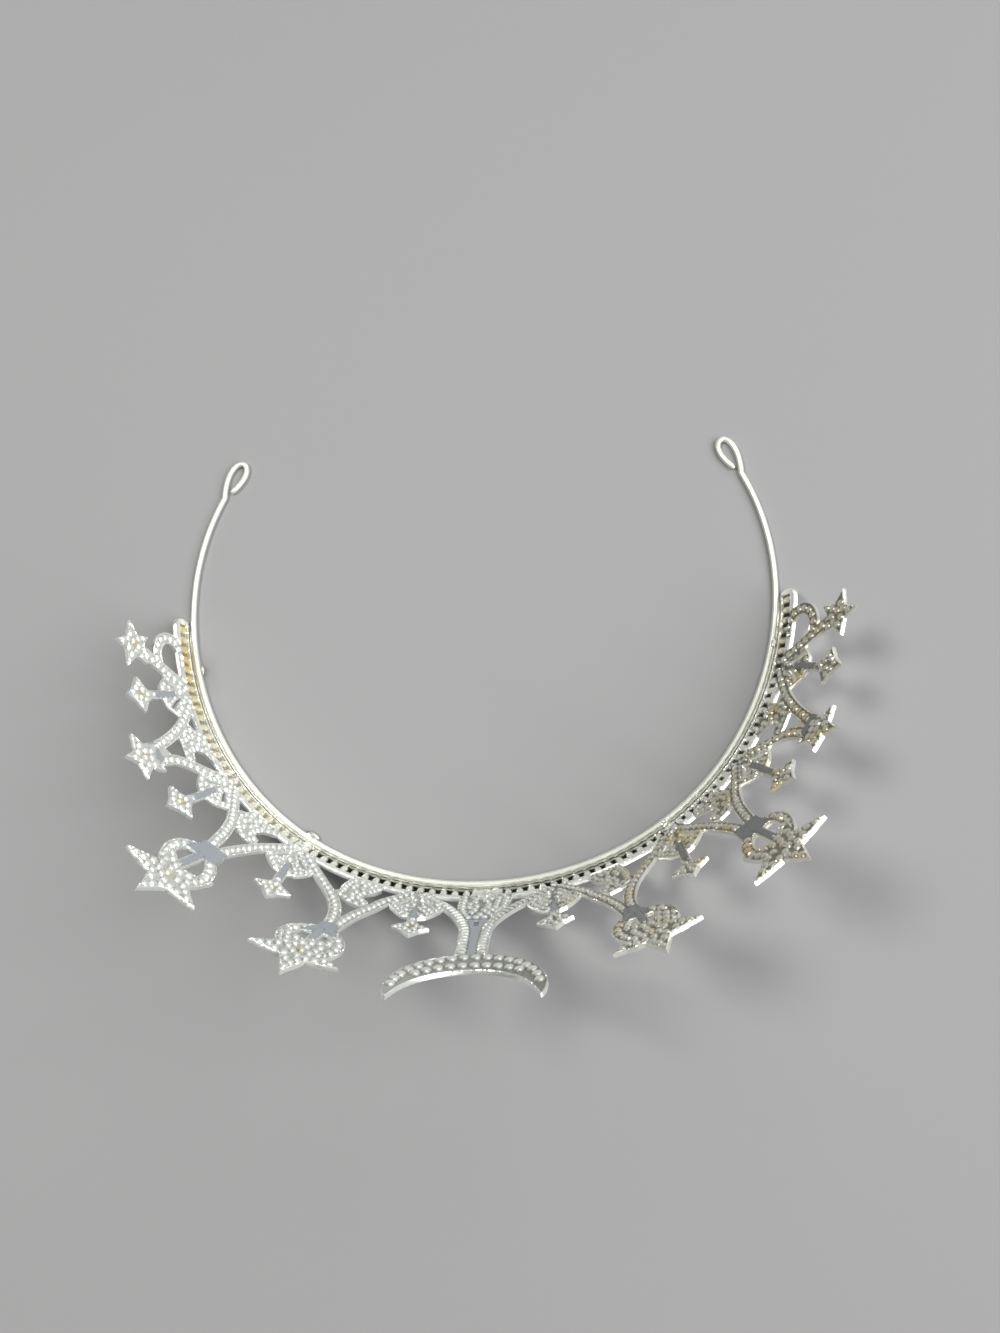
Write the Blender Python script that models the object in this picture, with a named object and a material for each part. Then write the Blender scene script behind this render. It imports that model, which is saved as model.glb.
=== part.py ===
"""A silver-plated tiara: one openwork casting (band, crescent, stars, pendants) and the round headband wire it stands on.

The casting is laid out flat, as u across and v up from the middle of its lower edge. The flat shape is part of a
cone: its lower edge is an arc, and rolling it up makes the band follow the ring and the crest lean outward.
Every length below is in millimetres. A mesh is scaled to metres when it is made. The front faces -Y, and the origin
is under the middle of the whole, at the level it stands on.
"""

import math

import bmesh
import bpy
import numpy as np
from mathutils import Vector
from mathutils.geometry import delaunay_2d_cdt

MM = 0.001

# Ring of the headband, seen from above
RING_RADIUS = 71.2
RING_WIDER = 2.9
RING_EGG = 1.25
RING_SQUARED = 0.65
RING_LOPSIDED = 0.75

# Headband wire and the loop bent inward at each of its ends
WIRE_RADIUS = 0.73
WIRE_END_ANGLE = 115.5
WIRE_SIDES = 8
WIRE_STEP = 7.0
LOOP_LENGTH = 10.4
LOOP_WIDTH = 4.0
WIRE_GAP = 0.3

# Casting as a whole
LEAN = 20.5
LEAN_TWIST = 1.8
FLAT_ARC_RADIUS = 202.7
THICKNESS = 1.25
OUTLINE_STEP = 3.0

# Band: a foot lip, a sunken channel of beads and a rail above it
BAND_HALF_LENGTH = 113.5
BAND_FOOT = 1.0
BAND_HEIGHT = 4.9
BAND_CORNER = 2.2
LIP_HEIGHT = 0.55
LIP_PROUD = 0.15
RAIL_HEIGHT = 1.7
CHANNEL_DEPTH = 0.55
CHANNEL_BEAD_PITCH = 2.62
CHANNEL_BEAD_RADIUS = 0.92
CENTRE_PAD_HALF = 3.5
CENTRE_PAD_BUMPS = ((-1.6, 0.2), (1.6, 0.2), (0.0, 1.4), (-1.6, 2.6), (1.6, 2.6))
JUNCTION_PAD_AT = 45.6
JUNCTION_PAD_HALF = 1.7

# Beaded surface
BEAD_PITCH = 2.2
BEAD_PROUD = 0.45
BEAD_INSET = 0.75
GROOVE = 0.08
BAR_PROUD = 0.4
STEP_RUN = 0.15

# Crescent and the pillar under it
CRESCENT_CENTRE = 52.7
CRESCENT_RADIUS = 16.0
CRESCENT_HOLLOW_CENTRE = 58.6
CRESCENT_HOLLOW_RADIUS = 14.4
HORN_SIDE = 51.5
HORN_INSIDE = 53.0
HORN_TIP = ((15.65, 54.2), (15.05, 56.0), (14.6, 56.3))
HORN_LIFT = 0.048
CRESCENT_PITCH = 2.45
CRESCENT_ROWS = ((52.7, 14.5, 9), (58.6, 16.7, 5))
PILLAR_LEAN = ((5.0, 0.0), (12.0, -0.8), (19.0, -1.5), (38.0, -1.9), (56.0, -2.15))
PILLAR_SLIT = ((0.05, 21.6), (-0.25, 18.6))
PILLAR_BASE = ((3.4, 18.0), (5.4, 12.5), (6.0, 9.0), (6.0, 3.0))
COLUMN_WIDTH = 2.5
FLARE_WIDTH = 2.8

# Arms, loops and bars
ARM_WIDTH = 2.8
LOOP_ARM_WIDTH = 2.7
HOOK_WIDTH = 2.9
STEM_WIDTH = 3.0
BAR_WIDTH = 1.6
NECK_WIDTH = 2.2
SLIT_WIDTH = 1.15

# Each star: place in the flat, tip radius, notch radius, turn of its tips in degrees
STARS = {
    "inner": ((35.6, 43.4), 9.8, 4.4, -7.0),
    "outer": ((64.9, 37.9), 10.0, 4.4, -17.0),
    "small": ((86.2, 11.2), 6.1, 3.0, -28.0),
    "end": ((109.0, -7.4), 6.0, 2.9, -36.0),
}

# Each pendant: its middle, tip radius, turn, foot on the rail, height of the leaf under it
PENDANTS = (
    ((15.7, 23.4), 4.1, 0.0, (15.8, 2.5), 15.9),
    ((46.5, 21.8), 4.4, -2.0, (46.2, -2.0), 15.7),
    ((73.6, 13.2), 4.6, -21.0, (68.0, -8.7), 14.0),
    ((98.2, -1.0), 4.6, -25.0, (91.2, -18.9), 12.3),
)
PENDANT_NOTCH = 0.6

# Right edge of the leaf under a pendant, as places out from its middle and down from its top, and the slit in it
LEAF_EDGE = ((2.7, 1.2), (4.2, 3.0), (5.6, 5.2), (6.4, 7.5))
LEAF_FOOT = (1.6, -0.6)
SLIT_LINE = ((3.7, 9.2), (2.3, 7.4), (0.95, 4.9))

# Middle lines of the beaded arms on the right half
FLARE = ((2.1, 38.0), (2.1, 30.0), (2.4, 23.0), (3.5, 18.8), (5.4, 14.5), (8.3, 10.2), (12.0, 6.4), (15.8, 1.8))
ARMS = (
    ((31.6, 32.0), (29.5, 25.0), (27.4, 20.0), (25.0, 15.5), (23.0, 11.3), (20.2, 7.4), (15.8, 1.6)),
    ((32.6, 32.0), (32.2, 25.5), (32.6, 20.5), (34.2, 15.2), (37.4, 9.6), (41.0, 4.0), (45.2, -2.5)),
    ((60.6, 22.0), (58.8, 17.3), (56.3, 12.2), (54.1, 8.3), (51.8, 5.0), (49.4, 1.8), (46.4, -2.6)),
    ((62.6, 22.0), (62.2, 15.5), (62.1, 10.5), (62.5, 5.5), (63.5, 1.5), (64.9, -2.5), (67.4, -9.4)),
    ((83.6, 8.5), (81.9, 3.6), (79.8, 0.6), (77.1, -1.9), (74.3, -4.2), (71.6, -6.4), (68.2, -9.6)),
    ((86.4, 8.5), (86.2, 0.0), (86.3, -4.0), (86.8, -8.0), (87.9, -12.0), (89.2, -15.5), (91.3, -19.8)),
)
END_STEM = ((109.0, -7.4), (105.6, -10.2), (101.8, -12.9), (98.3, -15.3), (94.6, -17.8), (90.8, -20.2))
HOOK = ((102.4, -13.4), (105.0, -14.6), (106.7, -17.8), (106.2, -20.8), (103.9, -23.0), (100.6, -23.3), (98.0, -21.6))

# Bead-covered leaves that hang inside the arms
LEAVES = (
    ((28.3, 16.6), (30.7, 15.8), (32.6, 14.2), (34.8, 12.4), (33.5, 10.4), (33.4, 8.0), (32.7, 5.2), (31.6, 1.8),
     (24.6, 2.4), (24.3, 5.4), (25.4, 7.6), (27.3, 9.4), (28.0, 11.8), (26.4, 13.4), (26.3, 15.4)),
    ((57.1, 8.6), (59.4, 8.0), (61.2, 5.8), (62.4, 3.0), (62.8, -1.4), (61.3, -2.4), (59.7, -5.9), (58.4, -6.3),
     (52.2, -4.6), (52.2, -1.3), (54.8, 0.2), (56.2, 2.4), (56.4, 4.3), (55.0, 5.4), (55.2, 7.6)),
    ((80.0, -1.2), (84.9, -4.1), (86.2, -8.0), (86.0, -10.7), (84.2, -11.4), (82.3, -14.3), (78.2, -14.6),
     (75.4, -13.6), (75.2, -9.0), (78.2, -8.4), (79.6, -7.0), (79.9, -5.2), (78.2, -3.4), (78.6, -1.2)),
)

# The two loops under each large star, as the middle line of the left and right one
STAR_LOOPS = {
    "inner": (
        ((33.2, 45.2), (30.0, 42.2), (28.6, 38.4), (29.6, 34.6), (32.4, 31.6)),
        ((36.6, 45.2), (39.0, 42.0), (39.9, 38.2), (38.2, 34.4), (33.4, 31.6)),
    ),
    "outer": (
        ((63.2, 38.6), (60.1, 35.2), (58.9, 31.2), (59.4, 27.0), (61.4, 23.4)),
        ((66.4, 37.2), (68.0, 33.2), (68.5, 29.0), (67.2, 25.0), (62.8, 21.6)),
    ),
}
STAR_PLATES = {
    "inner": ((29.7, 34.4), (36.8, 34.6), (34.4, 30.8), (33.9, 28.6), (30.5, 28.6)),
    "outer": ((59.0, 26.0), (66.6, 25.4), (64.6, 21.0), (64.3, 18.8), (58.2, 19.4)),
}
STAR_BARS = {
    "inner": ((34.6, 40.4), (33.2, 32.0)),
    "outer": ((64.9, 33.6), (62.5, 24.4)),
}


def smoothed(points, step):
    """A Catmull-Rom curve through the points, cut into runs of about one step."""
    p = np.array(points, float)
    p = np.vstack([2 * p[0] - p[1], p, 2 * p[-1] - p[-2]])
    out = []
    for a, b, c, d in zip(p[:-3], p[1:-2], p[2:-1], p[3:]):
        count = max(1, round(float(np.linalg.norm(c - b)) / step))
        for t in np.arange(count) / count:
            out.append(0.5 * (2 * b + (c - a) * t + (2 * a - 5 * b + 4 * c - d) * t**2 + (3 * b - a - 3 * c + d) * t**3))
    out.append(p[-2])
    return np.array(out)


def strip(points, width, end_width=None):
    """Outline of a ribbon of the given width that follows a smoothed line."""
    line = smoothed(points, OUTLINE_STEP)
    along = np.gradient(line, axis=0)
    along /= np.linalg.norm(along, axis=1)[:, None]
    side = np.c_[-along[:, 1], along[:, 0]]
    half = np.linspace(width, end_width or width, len(line))[:, None] / 2
    return np.vstack([line + side * half, (line - side * half)[::-1]])


def star(centre, tip, notch, turn, count=5):
    """Outline of a star with one tip turned this far from straight up."""
    angles = math.radians(90 + turn) + math.pi / count * np.arange(2 * count)
    radii = np.where(np.arange(2 * count) % 2 == 0, tip, notch)
    return np.array(centre) + radii[:, None] * np.c_[np.cos(angles), np.sin(angles)]


def arc(centre, radius, start, end, count):
    angles = np.radians(np.linspace(start, end, count))
    return np.array(centre) + radius * np.c_[np.cos(angles), np.sin(angles)]


def on_band(s, h):
    """The flat place at a distance s along the lower edge and h above it."""
    s, h = np.broadcast_arrays(np.asarray(s, float), np.asarray(h, float))
    radius = FLAT_ARC_RADIUS + h
    return np.stack([radius * np.sin(s / FLAT_ARC_RADIUS), radius * np.cos(s / FLAT_ARC_RADIUS) - FLAT_ARC_RADIUS], -1)


def band_patch(start, end, low, high, corner=0.0):
    """A piece of band between two places along it and two heights, with cut or rounded corners."""
    count = max(2, round((end - start - 2 * corner) / CHANNEL_BEAD_PITCH) + 1)
    run = np.linspace(start + corner, end - corner, count)
    bottom = on_band(run, low)
    top = on_band(run[::-1], high)
    if not corner:
        return np.vstack([bottom, top])
    right = on_band([end - 0.3 * corner, end, end, end - 0.3 * corner],
                    [low + 0.3 * corner, low + corner, high - corner, high - 0.3 * corner])
    left = on_band([start + 0.3 * corner, start, start, start + 0.3 * corner],
                   [high - 0.3 * corner, high - corner, low + corner, low + 0.3 * corner])
    return np.vstack([bottom, right, top, left])


def mirrored(outline):
    return np.array(outline) * (-1, 1)


def leaf_frame(foot, middle):
    """Across and along directions of a pendant that grows from its foot on the rail."""
    along = np.array(middle) - np.array(foot)
    along /= np.linalg.norm(along)
    return np.array([along[1], -along[0]]), along


def crescent_outline():
    side = math.degrees(math.asin((CRESCENT_CENTRE - HORN_SIDE) / CRESCENT_RADIUS))
    outer = arc((0, CRESCENT_CENTRE), CRESCENT_RADIUS, 180 + side, 360 - side, 19)
    fall = math.degrees(math.asin((CRESCENT_HOLLOW_CENTRE - HORN_INSIDE) / CRESCENT_HOLLOW_RADIUS))
    inner = arc((0, CRESCENT_HOLLOW_CENTRE), CRESCENT_HOLLOW_RADIUS, -fall, -180 + fall, 15)
    return np.vstack([outer, HORN_TIP, inner, mirrored(HORN_TIP)[::-1]])


def right_half():
    """Outlines to join, outlines to cut, middle lines that carry one row of beads, outlines filled with beads, bars."""
    joined = [strip(path, ARM_WIDTH) for path in ARMS]
    rows = [(path, ARM_WIDTH) for path in ARMS]
    joined += [strip(END_STEM, STEM_WIDTH), strip(HOOK, HOOK_WIDTH)]
    rows += [(END_STEM, STEM_WIDTH), (HOOK, HOOK_WIDTH)]
    filled = [np.array(leaf) for leaf in LEAVES]
    bars = []
    cuts = []
    for name, (centre, tip, notch, turn) in STARS.items():
        filled.append(star(centre, tip, notch, turn))
        if name in STAR_LOOPS:
            for path in STAR_LOOPS[name]:
                joined.append(strip(path, LOOP_ARM_WIDTH))
                rows.append((path, LOOP_ARM_WIDTH))
            joined.append(np.array(STAR_PLATES[name]))
            top, foot = np.array(STAR_BARS[name])
            joined.append(strip((np.array(centre), top, foot), BAR_WIDTH + 0.8))
            bars.append((top, foot))
    small = np.array(STARS["small"][0])
    joined.append(np.array([small + (-3.4, 0.4), small + (3.0, -0.6), (88.0, 5.2), (87.7, 3.0), (82.4, 3.0), (81.9, 8.2)]))
    for middle, tip, turn, foot, height in PENDANTS:
        across, along = leaf_frame(foot, middle)
        place = lambda x, y: np.array(foot) + x * across + y * along
        filled.append(star(middle, tip, tip * PENDANT_NOTCH, turn, 4))
        joined.append(strip((np.array(middle), place(0, height - 1)), NECK_WIDTH))
        edge = [(x, height - down) for x, down in LEAF_EDGE] + [LEAF_FOOT]
        leaf = [(0, height)] + [(-x, y) for x, y in edge] + edge[::-1]
        filled.append(np.array([place(x, y) for x, y in leaf]))
        for side in (-1, 1):
            slit = [place(side * x, y) for x, y in SLIT_LINE]
            cuts.append(strip(slit, SLIT_WIDTH, 0.4 * SLIT_WIDTH))
        bars.append((place(0, np.dot(np.array(middle) - foot, along) - 0.95 * tip), place(0, height - 5.5)))
    return joined, filled, cuts, rows, bars


def bent_over(outline):
    """The outline with the pillar and crescent leaning to the left and the right horn a little higher."""
    x, y = np.array(outline, float).T
    lift = HORN_LIFT * x * np.clip((y - 46) / 10, 0, 1)
    return np.c_[x + np.interp(y, *np.transpose(PILLAR_LEAN)), y + lift]


def crescent_rows():
    """Bead places, and the places between them, in the lower row and the shorter upper row."""
    rows = []
    for middle, radius, count in CRESCENT_ROWS:
        reach = math.degrees(CRESCENT_PITCH / radius) * (count - 0.5)
        line = bent_over(arc((0, middle), radius, -90 - reach, -90 + reach, 4 * count - 1))
        rows.append((line[::2], line[1::2]))
    return rows


def flat_design():
    """All outlines of the whole casting, with the lists of beads and bars on it."""
    joined, filled, cuts, rows, bars = right_half()
    joined += [mirrored(p) for p in joined]
    filled += [mirrored(p) for p in filled]
    cuts += [mirrored(p) for p in cuts]
    rows += [(mirrored(path), width) for path, width in rows]
    bars += [(mirrored(a), mirrored(b)) for a, b in bars]
    for side in (-1, 1):
        column = bent_over(smoothed(FLARE, OUTLINE_STEP) * (side, 1))
        joined.append(strip(column, COLUMN_WIDTH, FLARE_WIDTH))
        rows.append((column, COLUMN_WIDTH))
    joined.append(bent_over(crescent_outline()))
    joined.append(band_patch(-BAND_HALF_LENGTH, BAND_HALF_LENGTH, -BAND_FOOT, BAND_HEIGHT, BAND_CORNER))
    web = FLARE[0][0]
    joined.append(bent_over([(-web, 38.5), (web, 38.5), (web, 16.0), (-web, 16.0)]))
    base = np.vstack([PILLAR_BASE, mirrored(PILLAR_BASE)[::-1]])
    joined.append(bent_over(base))
    cuts.append(bent_over(strip(PILLAR_SLIT, SLIT_WIDTH)))
    filled.append(bent_over(np.c_[base[:, 0], np.clip(base[:, 1], 5.0, 15.0)]))
    return joined + filled, filled, cuts, rows, bars


def inside(points, outline):
    """Which points lie in the outline, by counting crossings."""
    x, y = points[:, 0][:, None], points[:, 1][:, None]
    x0, y0 = outline[:, 0], outline[:, 1]
    x1, y1 = np.roll(x0, -1), np.roll(y0, -1)
    straddles = (y0 > y) != (y1 > y)
    with np.errstate(divide="ignore", invalid="ignore"):
        crossing = x < (x1 - x0) * (y - y0) / (y1 - y0) + x0
    return (straddles & crossing).sum(1) % 2 == 1


def triangulate(points, edges=(), faces=()):
    found = delaunay_2d_cdt([Vector(p) for p in points], list(edges), [list(f) for f in faces], 0, 0.005, True)
    verts, _, triangles, origins = found[:4]
    return np.array([tuple(v) for v in verts]), np.array([tuple(t) for t in triangles]), origins


def joined_loops(joined, cuts):
    """The outer edge and every opening of the joined outlines, as closed loops."""
    points = []
    faces = []
    for outline in joined + cuts:
        faces.append(range(len(points), len(points) + len(outline)))
        points += [tuple(p) for p in outline]
    verts, triangles, _ = triangulate(points, (), faces)
    centres = verts[triangles].mean(1)
    kept = np.zeros(len(centres), bool)
    for outline in joined:
        kept |= inside(centres, outline)
    for outline in cuts:
        kept &= ~inside(centres, outline)
    follow = {}
    used = {tuple(e) for t in triangles[kept] for e in ((t[0], t[1]), (t[1], t[2]), (t[2], t[0]))}
    for a, b in used:
        if (b, a) not in used:
            follow.setdefault(a, []).append(b)
    loops = []
    while follow:
        start = next(iter(follow))
        loop = [start]
        while True:
            here = loop[-1]
            after = follow[here].pop()
            if not follow[here]:
                del follow[here]
            if after == start:
                break
            loop.append(after)
        loops.append(tidied(verts[loop]))
    return [loop for loop in loops if len(loop) > 2 and abs(area(loop)) > 0.4]


def area(loop):
    x, y = loop[:, 0], loop[:, 1]
    return float((x * np.roll(y, -1) - y * np.roll(x, -1)).sum() / 2)


def tidied(loop, short=0.3):
    """The loop without corners that sit almost on top of the one before them."""
    kept = [loop[0]]
    for point in loop[1:]:
        if np.linalg.norm(point - kept[-1]) > short:
            kept.append(point)
    if len(kept) > 3 and np.linalg.norm(kept[-1] - kept[0]) <= short:
        kept.pop()
    return np.array(kept)


def clearance(points, loops):
    """Distance from each point to the nearest edge of the outline."""
    best = np.full(len(points), np.inf)
    for loop in loops:
        a = loop
        ab = np.roll(loop, -1, axis=0) - a
        ap = points[:, None] - a[None]
        t = np.clip((ap * ab).sum(-1) / (ab * ab).sum(-1), 0, 1)
        best = np.minimum(best, np.linalg.norm(ap - t[..., None] * ab, axis=-1).min(1))
    return best


class Relief:
    """Points with their own depth, and lines between them, that shape the face of the casting."""

    def __init__(self):
        self.points = []
        self.depths = []
        self.lines = []

    def dots(self, places, depth):
        self.points += [tuple(p) for p in places]
        self.depths += [depth] * len(places)

    def ring(self, outline, depth):
        first = len(self.points)
        count = len(outline)
        self.dots(outline, depth)
        self.lines += [(first + i, first + (i + 1) % count) for i in range(count)]

    def clear_of(self, loops, least):
        """Only what lies well inside the outline, with points that crowd each other left out."""
        points = np.array(self.points)
        good = clearance(points, loops) > least
        good &= sum(inside(points, loop) for loop in loops) % 2 == 1
        seen = {}
        for i in np.flatnonzero(good):
            cell = tuple(np.round(points[i] / 0.12).astype(int))
            if cell in seen:
                good[i] = False
            seen.setdefault(cell, i)
        number = np.cumsum(good) - 1
        lines = [(int(number[a]), int(number[b])) for a, b in self.lines if good[a] and good[b]]
        return points[good], np.array(self.depths)[good], lines


def channel_runs():
    """The stretches of the channel on the right half between the pads that cross it."""
    return (
        (CENTRE_PAD_HALF, JUNCTION_PAD_AT - JUNCTION_PAD_HALF),
        (JUNCTION_PAD_AT + JUNCTION_PAD_HALF, BAND_HALF_LENGTH - BAND_CORNER * 0.7),
    )


def filling_beads(outline):
    """Bead places in a staggered grid that fills an outline."""
    low, high = outline.min(0), outline.max(0)
    rows = np.arange(low[1] + 0.5 * BEAD_PITCH, high[1], 0.866 * BEAD_PITCH)
    places = [(x + (0.5 * BEAD_PITCH if i % 2 else 0.0), y)
              for i, y in enumerate(rows) for x in np.arange(low[0], high[0] + BEAD_PITCH, BEAD_PITCH)]
    places = np.array(places)
    return places[inside(places, outline) & (clearance(places, [outline]) > BEAD_INSET)]


def face_relief(filled, rows, bars):
    relief = Relief()
    floor_low = -BAND_FOOT + LIP_HEIGHT
    floor_high = BAND_HEIGHT - RAIL_HEIGHT
    middle = (floor_low + floor_high) / 2
    for start, end in channel_runs():
        count = max(1, round((end - start) / CHANNEL_BEAD_PITCH))
        pitch = (end - start) / count
        for side in (1, -1):
            opening = band_patch(start, end, floor_low, floor_high)
            floor = band_patch(start + STEP_RUN, end - STEP_RUN, floor_low + STEP_RUN, floor_high - STEP_RUN)
            relief.ring(opening * (side, 1), 0.0)
            relief.ring(floor * (side, 1), CHANNEL_DEPTH)
            for i in range(count):
                spot = on_band(start + (i + 0.5) * pitch, middle) * (side, 1)
                relief.ring(arc(spot, CHANNEL_BEAD_RADIUS, 36, 324, 5), CHANNEL_DEPTH - 0.1)
                relief.dots([spot], -LIP_PROUD)
    relief.dots([on_band(s, h) for s, h in CENTRE_PAD_BUMPS], -BEAD_PROUD)
    for top, foot in bars:
        relief.ring(strip((top, foot), BAR_WIDTH), GROOVE)
        relief.ring(strip((top, foot), BAR_WIDTH - 2 * STEP_RUN), -BAR_PROUD)
    for path, width in rows:
        line = smoothed(path, 0.5 * BEAD_PITCH)
        relief.dots(line[1::2], -BEAD_PROUD)
        relief.dots(line[::2], GROOVE)
    for outline in filled:
        beads = filling_beads(outline)
        relief.dots(beads, -BEAD_PROUD)
        relief.dots(beads + (0.5 * BEAD_PITCH, 0.29 * BEAD_PITCH), GROOVE)
    for beads, between in crescent_rows():
        relief.dots(beads, -BEAD_PROUD)
        relief.dots(between, GROOVE)
    return relief


def ring_radius(phi):
    return (RING_RADIUS - RING_WIDER * np.cos(2 * phi) + RING_EGG * np.cos(3 * phi) - RING_SQUARED * np.cos(4 * phi)
            - RING_LOPSIDED * np.sin(2 * phi))


def ring_point(phi):
    radius = ring_radius(phi)
    return np.stack([radius * np.sin(phi), -radius * np.cos(phi)], -1)


def ring_outward(phi):
    ahead = ring_point(phi + 1e-3) - ring_point(phi - 1e-3)
    ahead /= np.linalg.norm(ahead, axis=-1)[..., None]
    return np.stack([ahead[..., 1], -ahead[..., 0]], -1)


def face_offset():
    """How far the foot of the face stands outside the middle of the wire."""
    lean = math.radians(LEAN)
    return WIRE_RADIUS + WIRE_GAP + BAND_FOOT * math.sin(lean) + LIP_PROUD * math.cos(lean)


def rolled_up(flat, depth):
    """Flat places and depths behind the face, as places on the leaning crest."""
    sweep = np.radians(np.linspace(-175, 175, 2801))
    base = ring_point(sweep) + ring_outward(sweep) * face_offset()
    length = np.r_[0, np.cumsum(np.linalg.norm(np.diff(base, axis=0), axis=1))]
    length -= np.interp(0, sweep, length)
    up = flat[:, 1] + FLAT_ARC_RADIUS
    s = np.arctan2(flat[:, 0], up) * FLAT_ARC_RADIUS
    h = np.hypot(flat[:, 0], up) - FLAT_ARC_RADIUS
    phi = np.interp(s, length, sweep)
    lean = np.radians(LEAN + LEAN_TWIST * (phi**3 - 0.6 * phi))
    out = face_offset() + np.sin(lean) * h + np.cos(lean) * depth
    z = np.cos(lean) * h - np.sin(lean) * depth
    level = ring_point(phi) + ring_outward(phi) * out[:, None]
    return np.c_[level, np.maximum(z, -WIRE_RADIUS) + WIRE_RADIUS]


def casting_mesh():
    joined, filled, cuts, rows, bars = flat_design()
    loops = joined_loops(joined, cuts)
    edge = np.vstack(loops)
    edge_lines = []
    first = 0
    for loop in loops:
        edge_lines += [(first + i, first + (i + 1) % len(loop)) for i in range(len(loop))]
        first += len(loop)
    count = len(edge)
    edge_height = np.hypot(edge[:, 0], edge[:, 1] + FLAT_ARC_RADIUS) - FLAT_ARC_RADIUS
    edge_depth = np.where(edge_height < 0.5 * LIP_HEIGHT - BAND_FOOT, -LIP_PROUD, 0.0)

    def sheet(points, lines, depths):
        verts, triangles, origins = triangulate(np.vstack([edge, points]), edge_lines + lines)
        centres = verts[triangles].mean(1)
        kept = triangles[sum(inside(centres, loop) for loop in loops) % 2 == 1]
        given = np.r_[edge_depth, depths]
        depth = np.zeros(len(verts))
        number = np.full(len(verts), -1)
        for i, source in enumerate(origins):
            if source:
                depth[i] = given[min(source)]
                number[i] = min(source) if min(source) < count else -1
        return verts, kept, depth, number

    points, depths, lines = face_relief(filled, rows, bars).clear_of(loops, 0.3)
    lines = [(a + count, b + count) for a, b in lines]
    front, front_faces, front_depth, front_edge = sheet(points, lines, depths)
    stiffeners = np.vstack([filling_beads(outline)[::6] for outline in filled])
    stiffeners = stiffeners[clearance(stiffeners, loops) > 1.0]
    back, back_faces, _, back_edge = sheet(stiffeners, [], np.zeros(len(stiffeners)))

    places = np.vstack([
        rolled_up(front, front_depth),
        rolled_up(back, np.full(len(back), THICKNESS)),
    ])
    front_of = {number: i for i, number in enumerate(front_edge) if number >= 0}
    back_of = {number: i + len(front) for i, number in enumerate(back_edge) if number >= 0}
    faces = [tuple(int(i) for i in face) for face in front_faces]
    faces += [tuple(int(i) + len(front) for i in face[::-1]) for face in back_faces]
    for a, b in edge_lines:
        faces.append((front_of[a], back_of[a], back_of[b], front_of[b]))
    return places, faces


def wire_path():
    """Middle line of the wire in plan, with the loop bent inward at each end."""
    end = math.radians(WIRE_END_ANGLE)
    count = round(2 * end * RING_RADIUS / WIRE_STEP)
    sweep = np.linspace(-end, end, count + 1)
    path = ring_point(sweep)
    loops = []
    for side, foot in ((1, path[-1]), (-1, path[0])):
        outward = ring_outward(np.array(side * end))
        ahead = side * np.array([-outward[1], outward[0]])
        inward = -outward
        # The bend of a hairpin: out along one side, round the tip and back until it nearly meets the wire
        widest = 0.77
        legs_apart = 2 * WIRE_RADIUS + WIRE_GAP
        turn = np.radians(np.linspace(0, 360, 721))
        apart = LOOP_WIDTH / widest * np.sin(turn) * np.sin(turn / 2)
        last = np.flatnonzero((turn > math.pi) & (-apart > legs_apart)).max()
        turn = np.linspace(0, turn[last], 14)[1:]
        along = LOOP_LENGTH * 0.5 * (1 - np.cos(turn))
        across = LOOP_WIDTH / widest * 0.5 * np.sin(turn) * np.sin(turn / 2)
        loops.append(foot + along[:, None] * ahead - across[:, None] * inward)
    return np.vstack([loops[1][::-1], path, loops[0]])


def wire_mesh():
    path = wire_path()
    ahead = np.gradient(path, axis=0)
    ahead /= np.linalg.norm(ahead, axis=1)[:, None]
    outward = np.c_[ahead[:, 1], -ahead[:, 0]]
    angles = 2 * math.pi * (np.arange(WIRE_SIDES) + 0.5) / WIRE_SIDES
    reach = WIRE_RADIUS / math.cos(math.pi / WIRE_SIDES)
    places = []
    for point, out in zip(path, outward):
        for angle in angles:
            level = point + out * reach * math.cos(angle)
            places.append((level[0], level[1], WIRE_RADIUS + reach * math.sin(angle)))
    faces = []
    for i in range(len(path) - 1):
        for k in range(WIRE_SIDES):
            after = (k + 1) % WIRE_SIDES
            low, high = i * WIRE_SIDES, (i + 1) * WIRE_SIDES
            faces.append((low + k, high + k, high + after, low + after))
    faces.append(tuple(range(WIRE_SIDES)))
    faces.append(tuple(range(len(places) - WIRE_SIDES, len(places)))[::-1])
    return np.array(places), faces


def material(name, colour, roughness, metallic):
    made = bpy.data.materials.new(name)
    made.use_nodes = True
    shader = made.node_tree.nodes["Principled BSDF"]
    shader.inputs["Base Color"].default_value = (*colour, 1.0)
    shader.inputs["Roughness"].default_value = roughness
    shader.inputs["Metallic"].default_value = metallic
    return made


def node(name, places, faces, surface):
    mesh = bpy.data.meshes.new(name)
    mesh.from_pydata([tuple(p * MM) for p in places], [], faces)
    shape = bmesh.new()
    shape.from_mesh(mesh)
    loose = [v for v in shape.verts if not v.link_faces]
    bmesh.ops.delete(shape, geom=loose, context="VERTS")
    bmesh.ops.recalc_face_normals(shape, faces=shape.faces)
    shape.to_mesh(mesh)
    shape.free()
    mesh.materials.append(surface)
    made = bpy.data.objects.new(name, mesh)
    bpy.context.scene.collection.objects.link(made)
    return made


for old in list(bpy.data.objects):
    bpy.data.objects.remove(old)

cast_silver = material("cast_silver", (0.80, 0.81, 0.76), 0.30, 1.0)
wire_silver = material("wire_silver", (0.83, 0.83, 0.77), 0.22, 1.0)
casting_places, casting_faces = casting_mesh()
wire_places, wire_faces = wire_mesh()
every_place = np.vstack([casting_places, wire_places])
middle = (every_place.min(0) + every_place.max(0)) / 2 * (1, 1, 0)
node("crest_casting", casting_places - middle, casting_faces, cast_silver)
node("headband_wire", wire_places - middle, wire_faces, wire_silver)
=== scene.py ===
import math

import bpy
import numpy as np
from mathutils import Matrix, Vector, kdtree, noise
from mathutils.geometry import delaunay_2d_cdt


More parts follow.
